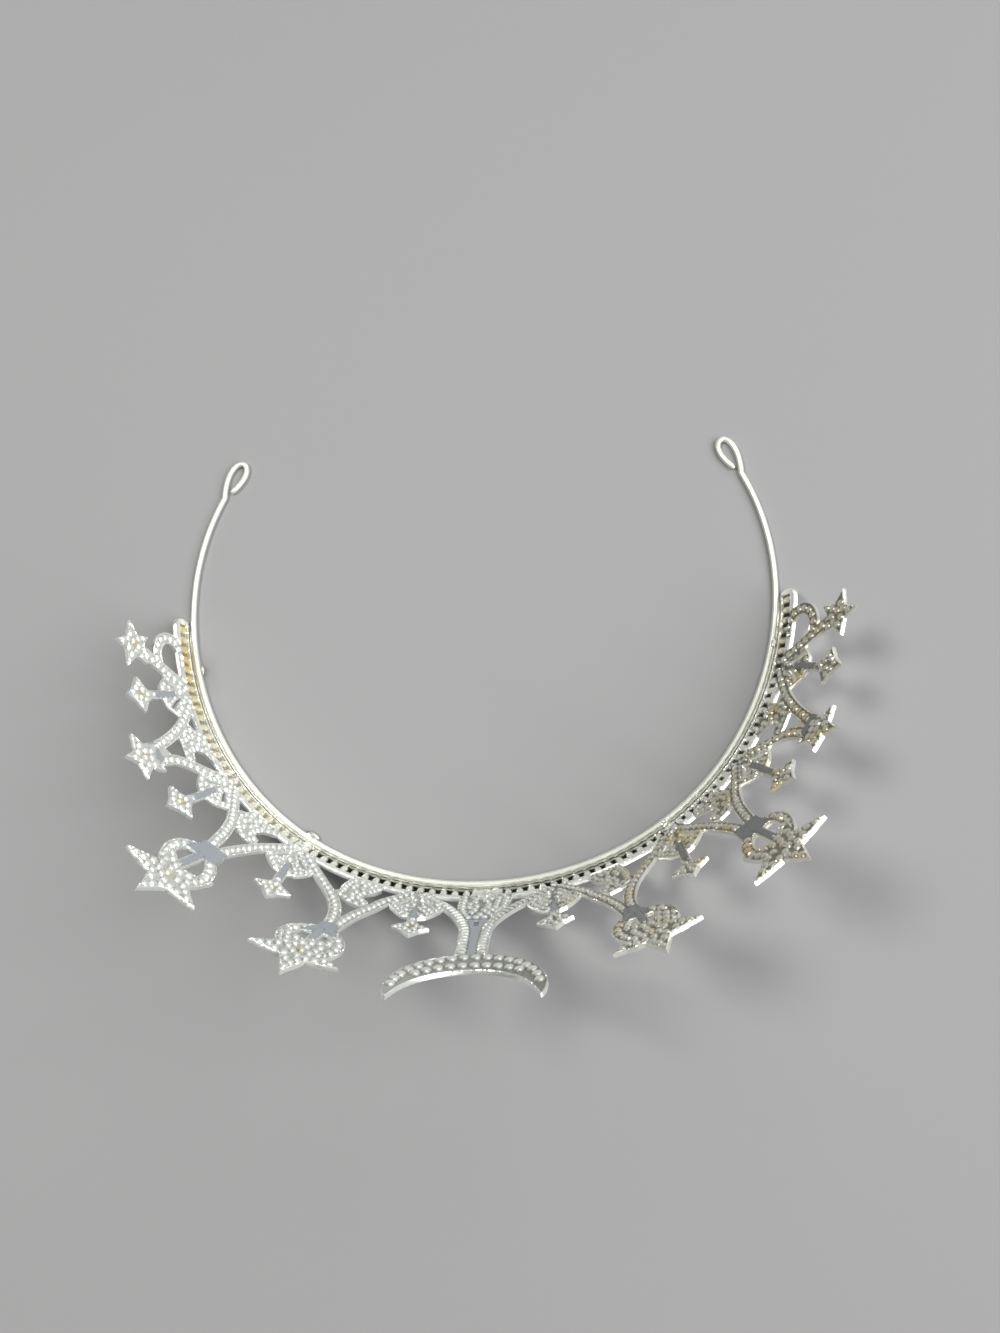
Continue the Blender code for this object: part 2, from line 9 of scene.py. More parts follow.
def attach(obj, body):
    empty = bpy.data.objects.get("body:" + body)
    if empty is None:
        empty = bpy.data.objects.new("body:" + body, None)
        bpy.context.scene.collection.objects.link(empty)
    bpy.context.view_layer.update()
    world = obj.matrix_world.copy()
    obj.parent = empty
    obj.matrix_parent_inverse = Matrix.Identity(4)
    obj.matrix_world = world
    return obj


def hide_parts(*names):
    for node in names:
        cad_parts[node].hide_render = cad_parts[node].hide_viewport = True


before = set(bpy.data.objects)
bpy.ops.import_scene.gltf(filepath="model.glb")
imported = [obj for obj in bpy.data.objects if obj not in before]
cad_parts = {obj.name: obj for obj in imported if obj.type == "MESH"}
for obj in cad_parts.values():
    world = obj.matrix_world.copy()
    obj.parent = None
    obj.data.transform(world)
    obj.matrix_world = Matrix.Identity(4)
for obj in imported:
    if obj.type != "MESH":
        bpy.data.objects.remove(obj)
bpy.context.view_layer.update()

# All lengths are in millimetres until a mesh is made. The ring is laid out round its own middle and then
# moved by -MIDDLE, so that the origin is under the middle of the bounding box, as in the solids.
MM = 0.001
MIDDLE = np.array((1.533, -24.0179, 0.0))

# The wire: a ring that isn't quite round, with a loop at each end
RING_RADIUS = 71.2
RING_WIDER = 2.9
RING_EGG = 1.25
RING_SQUARED = 0.65
RING_LOPSIDED = 0.75
WIRE_RADIUS = 0.73
WIRE_END_ANGLE = 115.5
WIRE_SIDES = 20
WIRE_STEP = 1.0
LOOP_LENGTH = 10.4
LOOP_WIDTH = 4.0
WIRE_GAP = 0.3

# How the face of the crest leans out, and the arc that it makes when it is laid flat
LEAN = 20.5
LEAN_TWIST = 1.8
FLAT_ARC_RADIUS = 202.7
THICKNESS = 1.25

# The band along the foot of the crest
BAND_HALF_LENGTH = 113.5
BAND_FOOT = 1.0
BAND_HEIGHT = 4.9
BAND_CORNER = 2.2
LIP_HEIGHT = 0.55
LIP_PROUD = 0.15
RAIL_HEIGHT = 1.7
CHANNEL_DEPTH = 0.55
CHANNEL_BEAD_PITCH = 2.62
CHANNEL_BEAD_HALF = 0.88
BEAD_HANGS_AT = 1.75
CENTRE_PAD_HALF = 3.5
JUNCTION_PAD_AT = 45.6
JUNCTION_PAD_HALF = 1.7

# The crescent and the pillar under it
CRESCENT_CENTRE = 52.7
CRESCENT_RADIUS = 16.0
CRESCENT_HOLLOW_CENTRE = 58.6
CRESCENT_HOLLOW_RADIUS = 14.4
HORN_SIDE = 51.5
HORN_INSIDE = 53.0
HORN_TIP = ((15.65, 54.2), (15.05, 56.0), (14.6, 56.3))
HORN_LIFT = 0.048
CRESCENT_PITCH = 2.45
CRESCENT_ROWS = ((52.7, 14.5, 9), (58.6, 16.7, 5))
PILLAR_LEAN = ((5.0, 0.0), (12.0, -0.8), (19.0, -1.5), (38.0, -1.9), (56.0, -2.15))
PILLAR_SLIT = ((0.05, 21.6), (-0.25, 18.6))
PILLAR_BASE = ((3.4, 18.0), (5.4, 12.5), (6.0, 9.0), (6.0, 3.0))
COLUMN_WIDTH = 2.5
FLARE_WIDTH = 2.8

# Widths of the lines of the crest
ARM_WIDTH = 2.8
LOOP_ARM_WIDTH = 2.7
HOOK_WIDTH = 2.9
STEM_WIDTH = 3.0
BAR_WIDTH = 1.6
NECK_WIDTH = 2.2
SLIT_WIDTH = 1.15

# Finer things that only the visual mesh shows
EDGE_STEP = 0.45
EDGE_ROUND = 0.16
RING_INSET = 0.17
FRONT_GRID = 0.30
BACK_GRID = 0.58
BEAD_RADIUS = 0.82
STAR_BEAD = 0.92
BEAD_PROUD = 0.56
FLOOR = -0.22
SEAM = 0.16
RIM = 0.36
SCALE_PITCH = 1.95
RIB_PITCH = 1.62
LOOP_PITCH = 2.1
BAR_PROUD = 0.36
PLATE_PROUD = 0.10
BACK_SHARE = 0.75
BACK_CARVED_ABOVE = 0.2
BEAD_SQUARENESS = 2.3
BEAD_SHARE = 0.475
RIB_SHARE = 0.37
FULL_BEAD = 0.8
PACKED_APART = 1.9
LEAST_ROOM = 0.7
GROOVE_AT = 1.02
GROOVE_HALF = 0.26
# Painted shade in the grooves round the beads, on the floor between them and on the rim; the share of the
# darker painted reflection on the rim and on plain parts; and the share of painted shade and of yellow on the
# back
GROOVE_SHADE = 0.55
BEAD_FLOOR_SHADE = 0.15
RIM_SHADE = 0.6
RIM_SMOOTH = 0.15
PLAIN_SMOOTH = 0.2
BACK_SHADE = 0.7
BACK_WARM = 0.3

# The lower lip of the band grows wider towards the ends, and its rail is narrower at the front
LIP_WIDENS = 0.65
LIP_WIDENS_OVER = (30, 60)
RAIL_NARROWS = 0.35
RAIL_NARROWS_OVER = (20, 50)
RAIL_PROUD = 0.22
CHANNEL_BEAD_PROUD = 0.3
PAD_PROUD = 0.05
PAD_LUMPS = 0.5

# How much painted shade darkens the channel at the front, and what it loses to the left and the right
CHANNEL_SHADE = 1.7
LEFT_SHADE_LESS = 0.9
LEFT_SHADE_OVER = (36, 52)
RIGHT_SHADE_LESS = 0.3
RIGHT_SHADE_OVER = (40, 60)
# Where the channel is gilt: the side, the stretch over which it comes in, and how yellow it turns
CHANNEL_WARM = 0.1
GILT = ((-1, (38, 60), 0.3), (-1, (78, 100), 0.6), (1, (85, 105), 0.35))

# Wear of the plate on the right half of the crest, with a yellow and darker cast there that is partly painted
# shade, and painted shade in the sunk places that grows from left to right
WORN_AND_SHADED_OVER = (0, 40)
WARM_WORN_AND_SHADED = 0.3
WORN_WARM_MORE = 0.6
SMOOTH_SHADE_RIGHT = 0.85
BEADED_SHADE_RIGHT = 0.28
SUNK_SHADE = 0.85
SUNK_SHADE_OVER = (-50, 30)

# The solder along the wire, and its drops: place along the band, distance outward, half sizes
SOLDER_END_GAP = 3.0
SOLDER_OUT = 0.16
SOLDER_LEVEL = 0.70
SOLDER_RADIUS = 0.36
SOLDER_TAPER = (0.2, 0.5, 0.8, 0.95)
SOLDER_DROPS = (
    (-45.5, -0.95, (1.7, 0.75, 0.62)),
    (-99.5, -0.9, (1.5, 0.7, 0.6)),
    (45.6, 0.35, (1.5, 0.85, 0.8)),
    (99.5, 0.4, (1.6, 0.85, 0.8)),
)
DROP_LEVEL = 0.80
DROP_UNEVEN = 0.28
DROP_LOWEST = 0.02
WIRE_END_SHARES = (0.55, 0.85, 0.97)

# How finely things are worked out
SPOT_GRID = 0.2
MERGE_DISTANCE = 0.002
POINTS_AT_ONCE = 4000
FAR_AWAY = 9.0
CREASE_ANGLE = 40

# Colours
PLATE_BRIGHT = (0.96, 0.97, 0.93, 1)
PLATE_CLOUDED = (0.86, 0.89, 0.86, 1)
# Smooth parts: a darker blue-grey that is a painted reflection of dark surroundings
SMOOTH_PAINTED_REFLECTION = (0.42, 0.47, 0.54, 1)
PLATE_WORN = (0.86, 0.71, 0.38, 1)
# Painted shade in the hollows, and a near-black painted shadow in the channel
HOLLOW_PAINTED_SHADE = (0.15, 0.15, 0.125, 1)
CHANNEL_PAINTED_SHADOW = (0.015, 0.014, 0.012, 1)
WIRE_BRIGHT = (0.86, 0.88, 0.83, 1)
WIRE_CLOUDED = (0.75, 0.76, 0.69, 1)
SOLDER_BRIGHT = (0.74, 0.75, 0.69, 1)
SOLDER_CLOUDED = (0.52, 0.52, 0.45, 1)
GROUND_COLOUR = (0.30, 0.30, 0.31, 1)
GROUND_REACH = 3.0

# The camera, where the photograph was taken: its eye above the middle of the ring, and its angles
EYE = (15.27, -74.07, 241.72)
PITCH, ROLL, YAW = 0.234162, 0.045008, -0.027362
PHOTO_HEIGHT = 1333.0
FOCAL_PIXELS = 1003.0
SENSOR_HEIGHT = 36.0

# Each star: its centre, the reach of its tips and notches, and its turn in degrees
STARS = {
    "inner": ((35.6, 43.4), 9.8, 4.4, -7.0),
    "outer": ((64.9, 37.9), 10.0, 4.4, -17.0),
    "small": ((86.2, 11.2), 6.1, 3.0, -28.0),
    "end": ((109.0, -7.4), 6.0, 2.9, -36.0),
}
# Each pendant: its middle, the reach of its tips, its turn, and the foot and height of its leaf
PENDANTS = (
    ((15.7, 23.4), 4.1, 0.0, (15.8, 2.5), 15.9),
    ((46.5, 21.8), 4.4, -2.0, (46.2, -2.0), 15.7),
    ((73.6, 13.2), 4.6, -21.0, (68.0, -8.7), 14.0),
    ((98.2, -1.0), 4.6, -25.0, (91.2, -18.9), 12.3),
)
PENDANT_NOTCH = 0.6
LEAF_EDGE = ((2.7, 1.2), (4.2, 3.0), (5.6, 5.2), (6.4, 7.5))
LEAF_FOOT = (1.6, -0.6)
SLIT_LINE = ((3.7, 9.2), (2.3, 7.4), (0.95, 4.9))
FLARE = (
    (2.1, 38.0), (2.1, 30.0), (2.4, 23.0), (3.5, 18.8), (5.4, 14.5), (8.3, 10.2), (12.0, 6.4), (15.8, 1.8),
)
ARMS = (
    ((31.6, 32.0), (29.5, 25.0), (27.4, 20.0), (25.0, 15.5), (23.0, 11.3), (20.2, 7.4), (15.8, 1.6)),
    ((32.6, 32.0), (32.2, 25.5), (32.6, 20.5), (34.2, 15.2), (37.4, 9.6), (41.0, 4.0), (45.2, -2.5)),
    ((60.6, 22.0), (58.8, 17.3), (56.3, 12.2), (54.1, 8.3), (51.8, 5.0), (49.4, 1.8), (46.4, -2.6)),
    ((62.6, 22.0), (62.2, 15.5), (62.1, 10.5), (62.5, 5.5), (63.5, 1.5), (64.9, -2.5), (67.4, -9.4)),
    ((83.6, 8.5), (81.9, 3.6), (79.8, 0.6), (77.1, -1.9), (74.3, -4.2), (71.6, -6.4), (68.2, -9.6)),
    ((86.4, 8.5), (86.2, 0.0), (86.3, -4.0), (86.8, -8.0), (87.9, -12.0), (89.2, -15.5), (91.3, -19.8)),
)
END_STEM = ((109.0, -7.4), (105.6, -10.2), (101.8, -12.9), (98.3, -15.3), (94.6, -17.8), (90.8, -20.2))
HOOK = (
    (102.4, -13.4), (105.0, -14.6), (106.7, -17.8), (106.2, -20.8), (103.9, -23.0), (100.6, -23.3),
    (98.0, -21.6),
)
LEAVES = (
    ((28.3, 16.6), (30.7, 15.8), (32.6, 14.2), (34.8, 12.4), (33.5, 10.4), (33.4, 8.0), (32.7, 5.2),
     (31.6, 1.8), (24.6, 2.4), (24.3, 5.4), (25.4, 7.6), (27.3, 9.4), (28.0, 11.8), (26.4, 13.4),
     (26.3, 15.4)),
    ((57.1, 8.6), (59.4, 8.0), (61.2, 5.8), (62.4, 3.0), (62.8, -1.4), (61.3, -2.4), (59.7, -5.9),
     (58.4, -6.3), (52.2, -4.6), (52.2, -1.3), (54.8, 0.2), (56.2, 2.4), (56.4, 4.3), (55.0, 5.4),
     (55.2, 7.6)),
    ((80.0, -1.2), (84.9, -4.1), (86.2, -8.0), (86.0, -10.7), (84.2, -11.4), (82.3, -14.3), (78.2, -14.6),
     (75.4, -13.6), (75.2, -9.0), (78.2, -8.4), (79.6, -7.0), (79.9, -5.2), (78.2, -3.4), (78.6, -1.2)),
)
STAR_LOOPS = {
    "inner": (
        ((33.2, 45.2), (30.0, 42.2), (28.6, 38.4), (29.6, 34.6), (32.4, 31.6)),
        ((36.6, 45.2), (39.0, 42.0), (39.9, 38.2), (38.2, 34.4), (33.4, 31.6)),
    ),
    "outer": (
        ((63.2, 38.6), (60.1, 35.2), (58.9, 31.2), (59.4, 27.0), (61.4, 23.4)),
        ((66.4, 37.2), (68.0, 33.2), (68.5, 29.0), (67.2, 25.0), (62.8, 21.6)),
    ),
}
# The short stem under each small star: two corners measured from its centre, then the rest
SMALL_STEM_TOP = ((-3.4, 0.4), (3.0, -0.6))
SMALL_STEM = ((88.0, 5.2), (87.7, 3.0), (82.4, 3.0), (81.9, 8.2))
SMALL_PLATE_TOP = ((-3.3, -2.5), (2.2, -3.6))
SMALL_PLATE = ((87.9, 5.4), (83.0, 6.4))
STAR_PLATES = {
    "inner": ((29.7, 34.4), (36.8, 34.6), (34.4, 30.8), (33.9, 28.6), (30.5, 28.6)),
    "outer": ((59.0, 26.0), (66.6, 25.4), (64.6, 21.0), (64.3, 18.8), (58.2, 19.4)),
}
STAR_BARS = {
    "inner": ((34.6, 40.4), (33.2, 32.0)),
    "outer": ((64.9, 33.6), (62.5, 24.4)),
}


def smoothed(points, step):
    """A Catmull-Rom curve through the points, cut into runs of about one step."""
    p = np.array(points, float)
    p = np.vstack([2 * p[0] - p[1], p, 2 * p[-1] - p[-2]])
    out = []
    for a, b, c, d in zip(p[:-3], p[1:-2], p[2:-1], p[3:]):
        count = max(1, round(float(np.linalg.norm(c - b)) / step))
        for t in np.arange(count) / count:
            square = (2 * a - 5 * b + 4 * c - d) * t**2
            cube = (3 * b - a - 3 * c + d) * t**3
            out.append(0.5 * (2 * b + (c - a) * t + square + cube))
    out.append(p[-2])
    return np.array(out)


def evenly(points, step):
    """The same line as points at equal distances, with the direction at each of them."""
    line = smoothed(points, 0.2)
    length = np.r_[0, np.cumsum(np.linalg.norm(np.diff(line, axis=0), axis=1))]
    count = max(2, round(length[-1] / step))
    at = np.linspace(0, length[-1], count + 1)
    even = np.c_[np.interp(at, length, line[:, 0]), np.interp(at, length, line[:, 1])]
    ahead = np.gradient(even, axis=0)
    return even, ahead / np.linalg.norm(ahead, axis=1)[:, None]


def strip(points, width, end_width=None):
    """Outline of a ribbon of the given width that follows a smoothed line."""
    line, ahead = evenly(points, EDGE_STEP)
    side = np.c_[-ahead[:, 1], ahead[:, 0]]
    half = np.linspace(width, end_width or width, len(line))[:, None] / 2
    return np.vstack([line + side * half, (line - side * half)[::-1]])


def star(centre, tip, notch, turn, count=5):
    """Outline of a star with one tip turned this far from straight up."""
    angles = math.radians(90 + turn) + math.pi / count * np.arange(2 * count)
    radii = np.where(np.arange(2 * count) % 2 == 0, tip, notch)
    return np.array(centre) + radii[:, None] * np.c_[np.cos(angles), np.sin(angles)]


def arc(centre, radius, start, end, count):
    angles = np.radians(np.linspace(start, end, count))
    return np.array(centre) + radius * np.c_[np.cos(angles), np.sin(angles)]


def on_band(s, h):
    """The flat place at a distance s along the lower edge and h above it."""
    s, h = np.broadcast_arrays(np.asarray(s, float), np.asarray(h, float))
    angle = s / FLAT_ARC_RADIUS
    radius = FLAT_ARC_RADIUS + h
    return np.stack([radius * np.sin(angle), radius * np.cos(angle) - FLAT_ARC_RADIUS], -1)


def band_place(flat):
    """How far along the band's lower edge and above it each flat place is."""
    up = flat[:, 1] + FLAT_ARC_RADIUS
    return np.arctan2(flat[:, 0], up) * FLAT_ARC_RADIUS, np.hypot(flat[:, 0], up) - FLAT_ARC_RADIUS


def band_outline():
    straight = BAND_HALF_LENGTH - BAND_CORNER
    run = np.linspace(-straight, straight, 480)
    turn = np.radians(np.linspace(-80, 80, 9))
    tall = (BAND_HEIGHT + BAND_FOOT) / 2
    middle = (BAND_HEIGHT - BAND_FOOT) / 2
    round_end = [(straight + BAND_CORNER * math.cos(a), middle + tall * math.sin(a)) for a in turn]
    right = on_band([s for s, _ in round_end], [h for _, h in round_end])
    lower = on_band(run, -BAND_FOOT)
    upper = on_band(run[::-1], BAND_HEIGHT)
    return np.vstack([lower, right, upper, right[::-1] * (-1, 1)])


def mirrored(outline):
    return np.array(outline) * (-1, 1)


def leaf_places(foot, middle):
    """Turns a distance across and a height up a pendant into a flat place."""
    foot = np.array(foot)
    along = (np.array(middle) - foot) / np.linalg.norm(np.array(middle) - foot)
    across = np.array([along[1], -along[0]])
    return lambda x, y: foot + x * across + y * along


def crescent_outline():
    side = math.degrees(math.asin((CRESCENT_CENTRE - HORN_SIDE) / CRESCENT_RADIUS))
    outer = arc((0, CRESCENT_CENTRE), CRESCENT_RADIUS, 180 + side, 360 - side, 110)
    fall = math.degrees(math.asin((CRESCENT_HOLLOW_CENTRE - HORN_INSIDE) / CRESCENT_HOLLOW_RADIUS))
    inner = arc((0, CRESCENT_HOLLOW_CENTRE), CRESCENT_HOLLOW_RADIUS, -fall, -180 + fall, 80)
    return np.vstack([outer, HORN_TIP, inner, mirrored(HORN_TIP)[::-1]])


def bent_over(outline):
    """The outline with the pillar and crescent leaning to the left and the right horn a little higher."""
    x, y = np.array(outline, float).T
    lift = HORN_LIFT * x * np.clip((y - 46) / 10, 0, 1)
    return np.c_[x + np.interp(y, *np.transpose(PILLAR_LEAN)), y + lift]


def inside(points, outline):
    """Which points lie in the outline, by counting crossings."""
    found = np.zeros(len(points), bool)
    low, high = outline.min(0), outline.max(0)
    near = np.flatnonzero(((points >= low) & (points <= high)).all(1))
    x0, y0 = outline[:, 0], outline[:, 1]
    x1, y1 = np.roll(x0, -1), np.roll(y0, -1)
    for part in np.array_split(near, len(near) // POINTS_AT_ONCE + 1):
        x, y = points[part, 0][:, None], points[part, 1][:, None]
        straddles = (y0 > y) != (y1 > y)
        with np.errstate(divide="ignore", invalid="ignore"):
            crossing = x < (x1 - x0) * (y - y0) / (y1 - y0) + x0
        found[part] = (straddles & crossing).sum(1) % 2 == 1
    return found


def to_edge(points, outline):
    """Distance from each point to an outline."""
    best = np.full(len(points), np.inf)
    a = outline
    ab = np.roll(a, -1, axis=0) - a
    for part in np.array_split(np.arange(len(points)), len(points) // POINTS_AT_ONCE + 1):
        ap = points[part][:, None] - a[None]
        t = np.clip((ap * ab).sum(-1) / (ab * ab).sum(-1), 0, 1)
        best[part] = np.linalg.norm(ap - t[..., None] * ab, axis=-1).min(1)
    return best


class Design:
    """The flat pattern: outlines to join and cut, and layers of ornament, each covering those before it."""

    def __init__(self):
        self.joined = []
        self.cuts = []
        self.layers = []
        self.warm = []
        self.side = 1

    def flip(self, points):
        return np.array(points, float) * (self.side, 1)

    def join(self, outline):
        self.joined.append(self.flip(outline))

    def row(self, path, width, end_width=None, pitch=SCALE_PITCH):
        """A ribbon with one row of beads on it."""
        self.join(strip(path, width, end_width))
        self.layers.append((ribbon, (self.flip(path), min(width, end_width or width), pitch)))

    def beaded(self, outline, beads, lift=0.0):
        """A region with beads, each a place and a radius."""
        self.join(outline)
        placed = [(self.flip(spot), radius) for spot, radius in beads]
        self.layers.append((bead_field, (self.flip(outline), placed, lift)))

    def plate(self, outline, proud=PLATE_PROUD, edge=0.3):
        self.layers.append((raised, (self.flip(outline), proud, edge)))

    def half(self, side):
        self.side = side
        for outline in LEAVES:
            self.beaded(outline, packed(outline), -0.08)
        for middle, tip, turn, foot, height in PENDANTS:
            self.leaf(foot, middle, height)
        for path in ARMS:
            self.row(path, ARM_WIDTH)
        self.row(END_STEM, STEM_WIDTH)
        self.row(HOOK, HOOK_WIDTH)
        small = np.array(STARS["small"][0])
        self.join([*(small + SMALL_STEM_TOP), *SMALL_STEM])
        self.plate([*(small + SMALL_PLATE_TOP), *SMALL_PLATE])
        for name in STAR_LOOPS:
            for path in STAR_LOOPS[name]:
                self.row(path, LOOP_ARM_WIDTH, pitch=LOOP_PITCH)
            self.join(STAR_PLATES[name])
            self.plate(STAR_PLATES[name])
        for name, (centre, tip, notch, turn) in STARS.items():
            if name in STAR_LOOPS:
                top, foot = np.array(STAR_BARS[name])
                self.join(strip((np.array(centre), top, foot), BAR_WIDTH + 0.8))
                self.plate(strip((top, foot), BAR_WIDTH), BAR_PROUD, 0.35)
            outline = star(centre, tip, notch, turn)
            self.beaded(outline, packed(outline, STAR_BEAD), 0.12)
            self.warm.append((self.flip(centre), 1.6))
        for middle, tip, turn, foot, height in PENDANTS:
            self.pendant(foot, middle, height, tip, turn)

    def leaf(self, foot, middle, height):
        """The beaded leaf under a pendant, with a slit on each side."""
        place = leaf_places(foot, middle)
        edge = [(x, height - down) for x, down in LEAF_EDGE] + [LEAF_FOOT]
        outline = [place(x, y) for x, y in [(0, height)] + [(-x, y) for x, y in edge] + edge[::-1]]
        self.beaded(outline, packed(outline), 0.05)
        for side in (-1, 1):
            slit = [place(side * x, y) for x, y in SLIT_LINE]
            self.cuts.append(self.flip(strip(slit, SLIT_WIDTH, 0.4 * SLIT_WIDTH)))

    def pendant(self, foot, middle, height, tip, turn):
        """The four-tipped star on its leaf, with a smooth bar between them."""
        place = leaf_places(foot, middle)
        neck = strip((np.array(middle), place(0, height - 1)), NECK_WIDTH)
        self.join(neck)
        outline = star(middle, tip, tip * PENDANT_NOTCH, turn, 4)
        self.beaded(outline, packed(outline), 0.1)
        self.warm.append((self.flip(middle), 1.6))
        away = np.linalg.norm(np.array(middle) - np.array(foot))
        self.plate(strip((place(0, away - 0.95 * tip), place(0, height - 5.5)), BAR_WIDTH), BAR_PROUD, 0.35)

    def middle(self):
        self.side = 1
        web = FLARE[0][0]
        self.joined.append(bent_over([(-web, 38.5), (web, 38.5), (web, 16.0), (-web, 16.0)]))
        base = bent_over(np.vstack([PILLAR_BASE, mirrored(PILLAR_BASE)[::-1]]))
        self.beaded(base, packed(base, 0.92))
        self.plate(bent_over([(-web, 38.5), (web, 38.5), (web, 17.2), (-web, 17.2)]), -0.12, 0.2)
        self.cuts.append(bent_over(strip(PILLAR_SLIT, SLIT_WIDTH)))
        for side in (-1, 1):
            self.row(bent_over(smoothed(FLARE, 2.0) * (side, 1)), COLUMN_WIDTH, FLARE_WIDTH, RIB_PITCH)
        moon = bent_over(crescent_outline())
        beads = []
        for middle, radius, count in CRESCENT_ROWS:
            reach = math.degrees(CRESCENT_PITCH / radius) * (count - 0.5)
            places = bent_over(arc((0, middle), radius, -90 - reach, -90 + reach, 2 * count))
            beads += [(p, min(1.14, space + 0.1)) for p, space in zip(places, to_edge(places, moon))]
        self.beaded(moon, beads, 0.08)
        self.joined.append(band_outline())


def packed(outline, radius=BEAD_RADIUS):
    """Bead places that follow the edge of an outline and then fill it, each close to those before it."""
    outline = np.array(outline, float)
    low, high = outline.min(0), outline.max(0)
    x, y = np.meshgrid(np.arange(low[0], high[0], SPOT_GRID), np.arange(low[1], high[1], SPOT_GRID))
    spots = np.c_[x.ravel(), y.ravel()]
    spots = spots[inside(spots, outline)]
    room = to_edge(spots, outline)
    spots, room = spots[room > LEAST_ROOM], room[room > LEAST_ROOM]
    off_edge = np.abs(room - radius - 0.5 * RIM)
    nearest = np.full(len(spots), FAR_AWAY)
    beads = []
    while (nearest > PACKED_APART * radius).any():
        pick = np.where(nearest > PACKED_APART * radius, off_edge + 0.35 * nearest, np.inf).argmin()
        beads.append((spots[pick], min(radius, room[pick] + 0.05)))
        nearest = np.minimum(nearest, np.linalg.norm(spots - spots[pick], axis=1))
    return beads


def triangulate(points, edges=(), faces=()):
    """Triangles between flat points that keep the given edges, and the source of each point."""
    places = [Vector(p) for p in points]
    found = delaunay_2d_cdt(places, list(edges), [list(f) for f in faces], 0, MERGE_DISTANCE, True)
    verts, _, triangles, origins = found[:4]
    return np.array([tuple(v) for v in verts]), np.array([tuple(t) for t in triangles]), origins


def outline_loops(design):
    """The outer edge and every opening of the joined outlines, as loops with the metal on their left."""
    points = []
    faces = []
    for outline in design.joined + design.cuts:
        faces.append(range(len(points), len(points) + len(outline)))
        points += [tuple(p) for p in outline]
    verts, triangles, _ = triangulate(points, (), faces)
    centres = verts[triangles].mean(1)
    kept = np.zeros(len(centres), bool)
    for outline in design.joined:
        kept |= inside(centres, outline)
    for outline in design.cuts:
        kept &= ~inside(centres, outline)
    follow = {}
    used = {tuple(e) for t in triangles[kept] for e in ((t[0], t[1]), (t[1], t[2]), (t[2], t[0]))}
    for a, b in sorted(used):
        if (b, a) not in used:
            follow.setdefault(a, []).append(b)
    loops = []
    while follow:
        start = next(iter(follow))
        loop = [start]
        while True:
            here = loop[-1]
            after = follow[here].pop()
            if not follow[here]:
                del follow[here]
            if after == start:
                break
            loop.append(after)
        shape = verts[loop]
        if len(loop) > 2 and abs(area(shape)) > 0.4:
            loops.append(resampled(shape))
    return loops


def area(loop):
    x, y = loop[:, 0], loop[:, 1]
    return float((x * np.roll(y, -1) - y * np.roll(x, -1)).sum() / 2)


def resampled(loop):
    """The loop with crowded points dropped and long edges divided."""
    kept = [loop[0]]
    for point in loop[1:]:
        if np.linalg.norm(point - kept[-1]) > 0.2:
            kept.append(point)
    if np.linalg.norm(kept[-1] - kept[0]) <= 0.2:
        kept.pop()
    out = []
    for a, b in zip(kept, kept[1:] + kept[:1]):
        count = max(1, math.ceil(np.linalg.norm(b - a) / (1.25 * EDGE_STEP)))
        out += [a + (b - a) * k / count for k in range(count)]
    return np.array(out)


def channel_runs():
    """The stretches of the channel on the right half between the pads that cross it."""
    return (
        (CENTRE_PAD_HALF, JUNCTION_PAD_AT - JUNCTION_PAD_HALF),
        (JUNCTION_PAD_AT + JUNCTION_PAD_HALF, BAND_HALF_LENGTH - BAND_CORNER * 0.7),
    )


def ramp(x, low, high):
    t = np.clip((x - low) / (high - low), 0, 1)
    return t * t * (3 - 2 * t)


def dome(far, proud):
    """Height of a round bead at this share of its radius."""
    return proud * np.clip(1 - far**BEAD_SQUARENESS, 0, 1) ** 0.5


class Surface:
    """The face as flat points, with how proud, smooth and yellowed each of them is, and how much painted
    shade darkens each of them.
    """

    def __init__(self, points, room):
        self.points = points
        self.plain = 1 - ramp(room, 0.5 * RIM, RIM)
        self.off_corner = ramp(room, 0.02, 0.15)
        self.height = np.zeros(len(points))
        self.painted_shade = np.zeros(len(points))
        self.sunk = np.zeros(len(points))
        self.smooth = np.full(len(points), PLAIN_SMOOTH)
        self.warm = np.zeros(len(points))
        self.covered = np.zeros(len(points), bool)

    def beads(self, here, rise, far, lift):
        """Beads on a sunk floor with a groove round each; the rim of the casting stays plain."""
        edge = self.plain[here]
        self.height[here] = (FLOOR + rise) * (1 - edge) + lift
        # Painted shade in the groove round each bead, on the floor between beads and along the rim's edge
        groove = np.clip(1 - np.abs(far - GROOVE_AT) / GROOVE_HALF, 0, 1) * (1 - edge)
        floor = (far > GROOVE_AT) * (1 - edge)
        self.painted_shade[here] = np.maximum(GROOVE_SHADE * groove, BEAD_FLOOR_SHADE * floor)
        self.sunk[here] = np.maximum.reduce([groove, floor, RIM_SHADE * edge * self.off_corner[here]])
        self.smooth[here] = RIM_SMOOTH * edge
        self.covered[here] = True


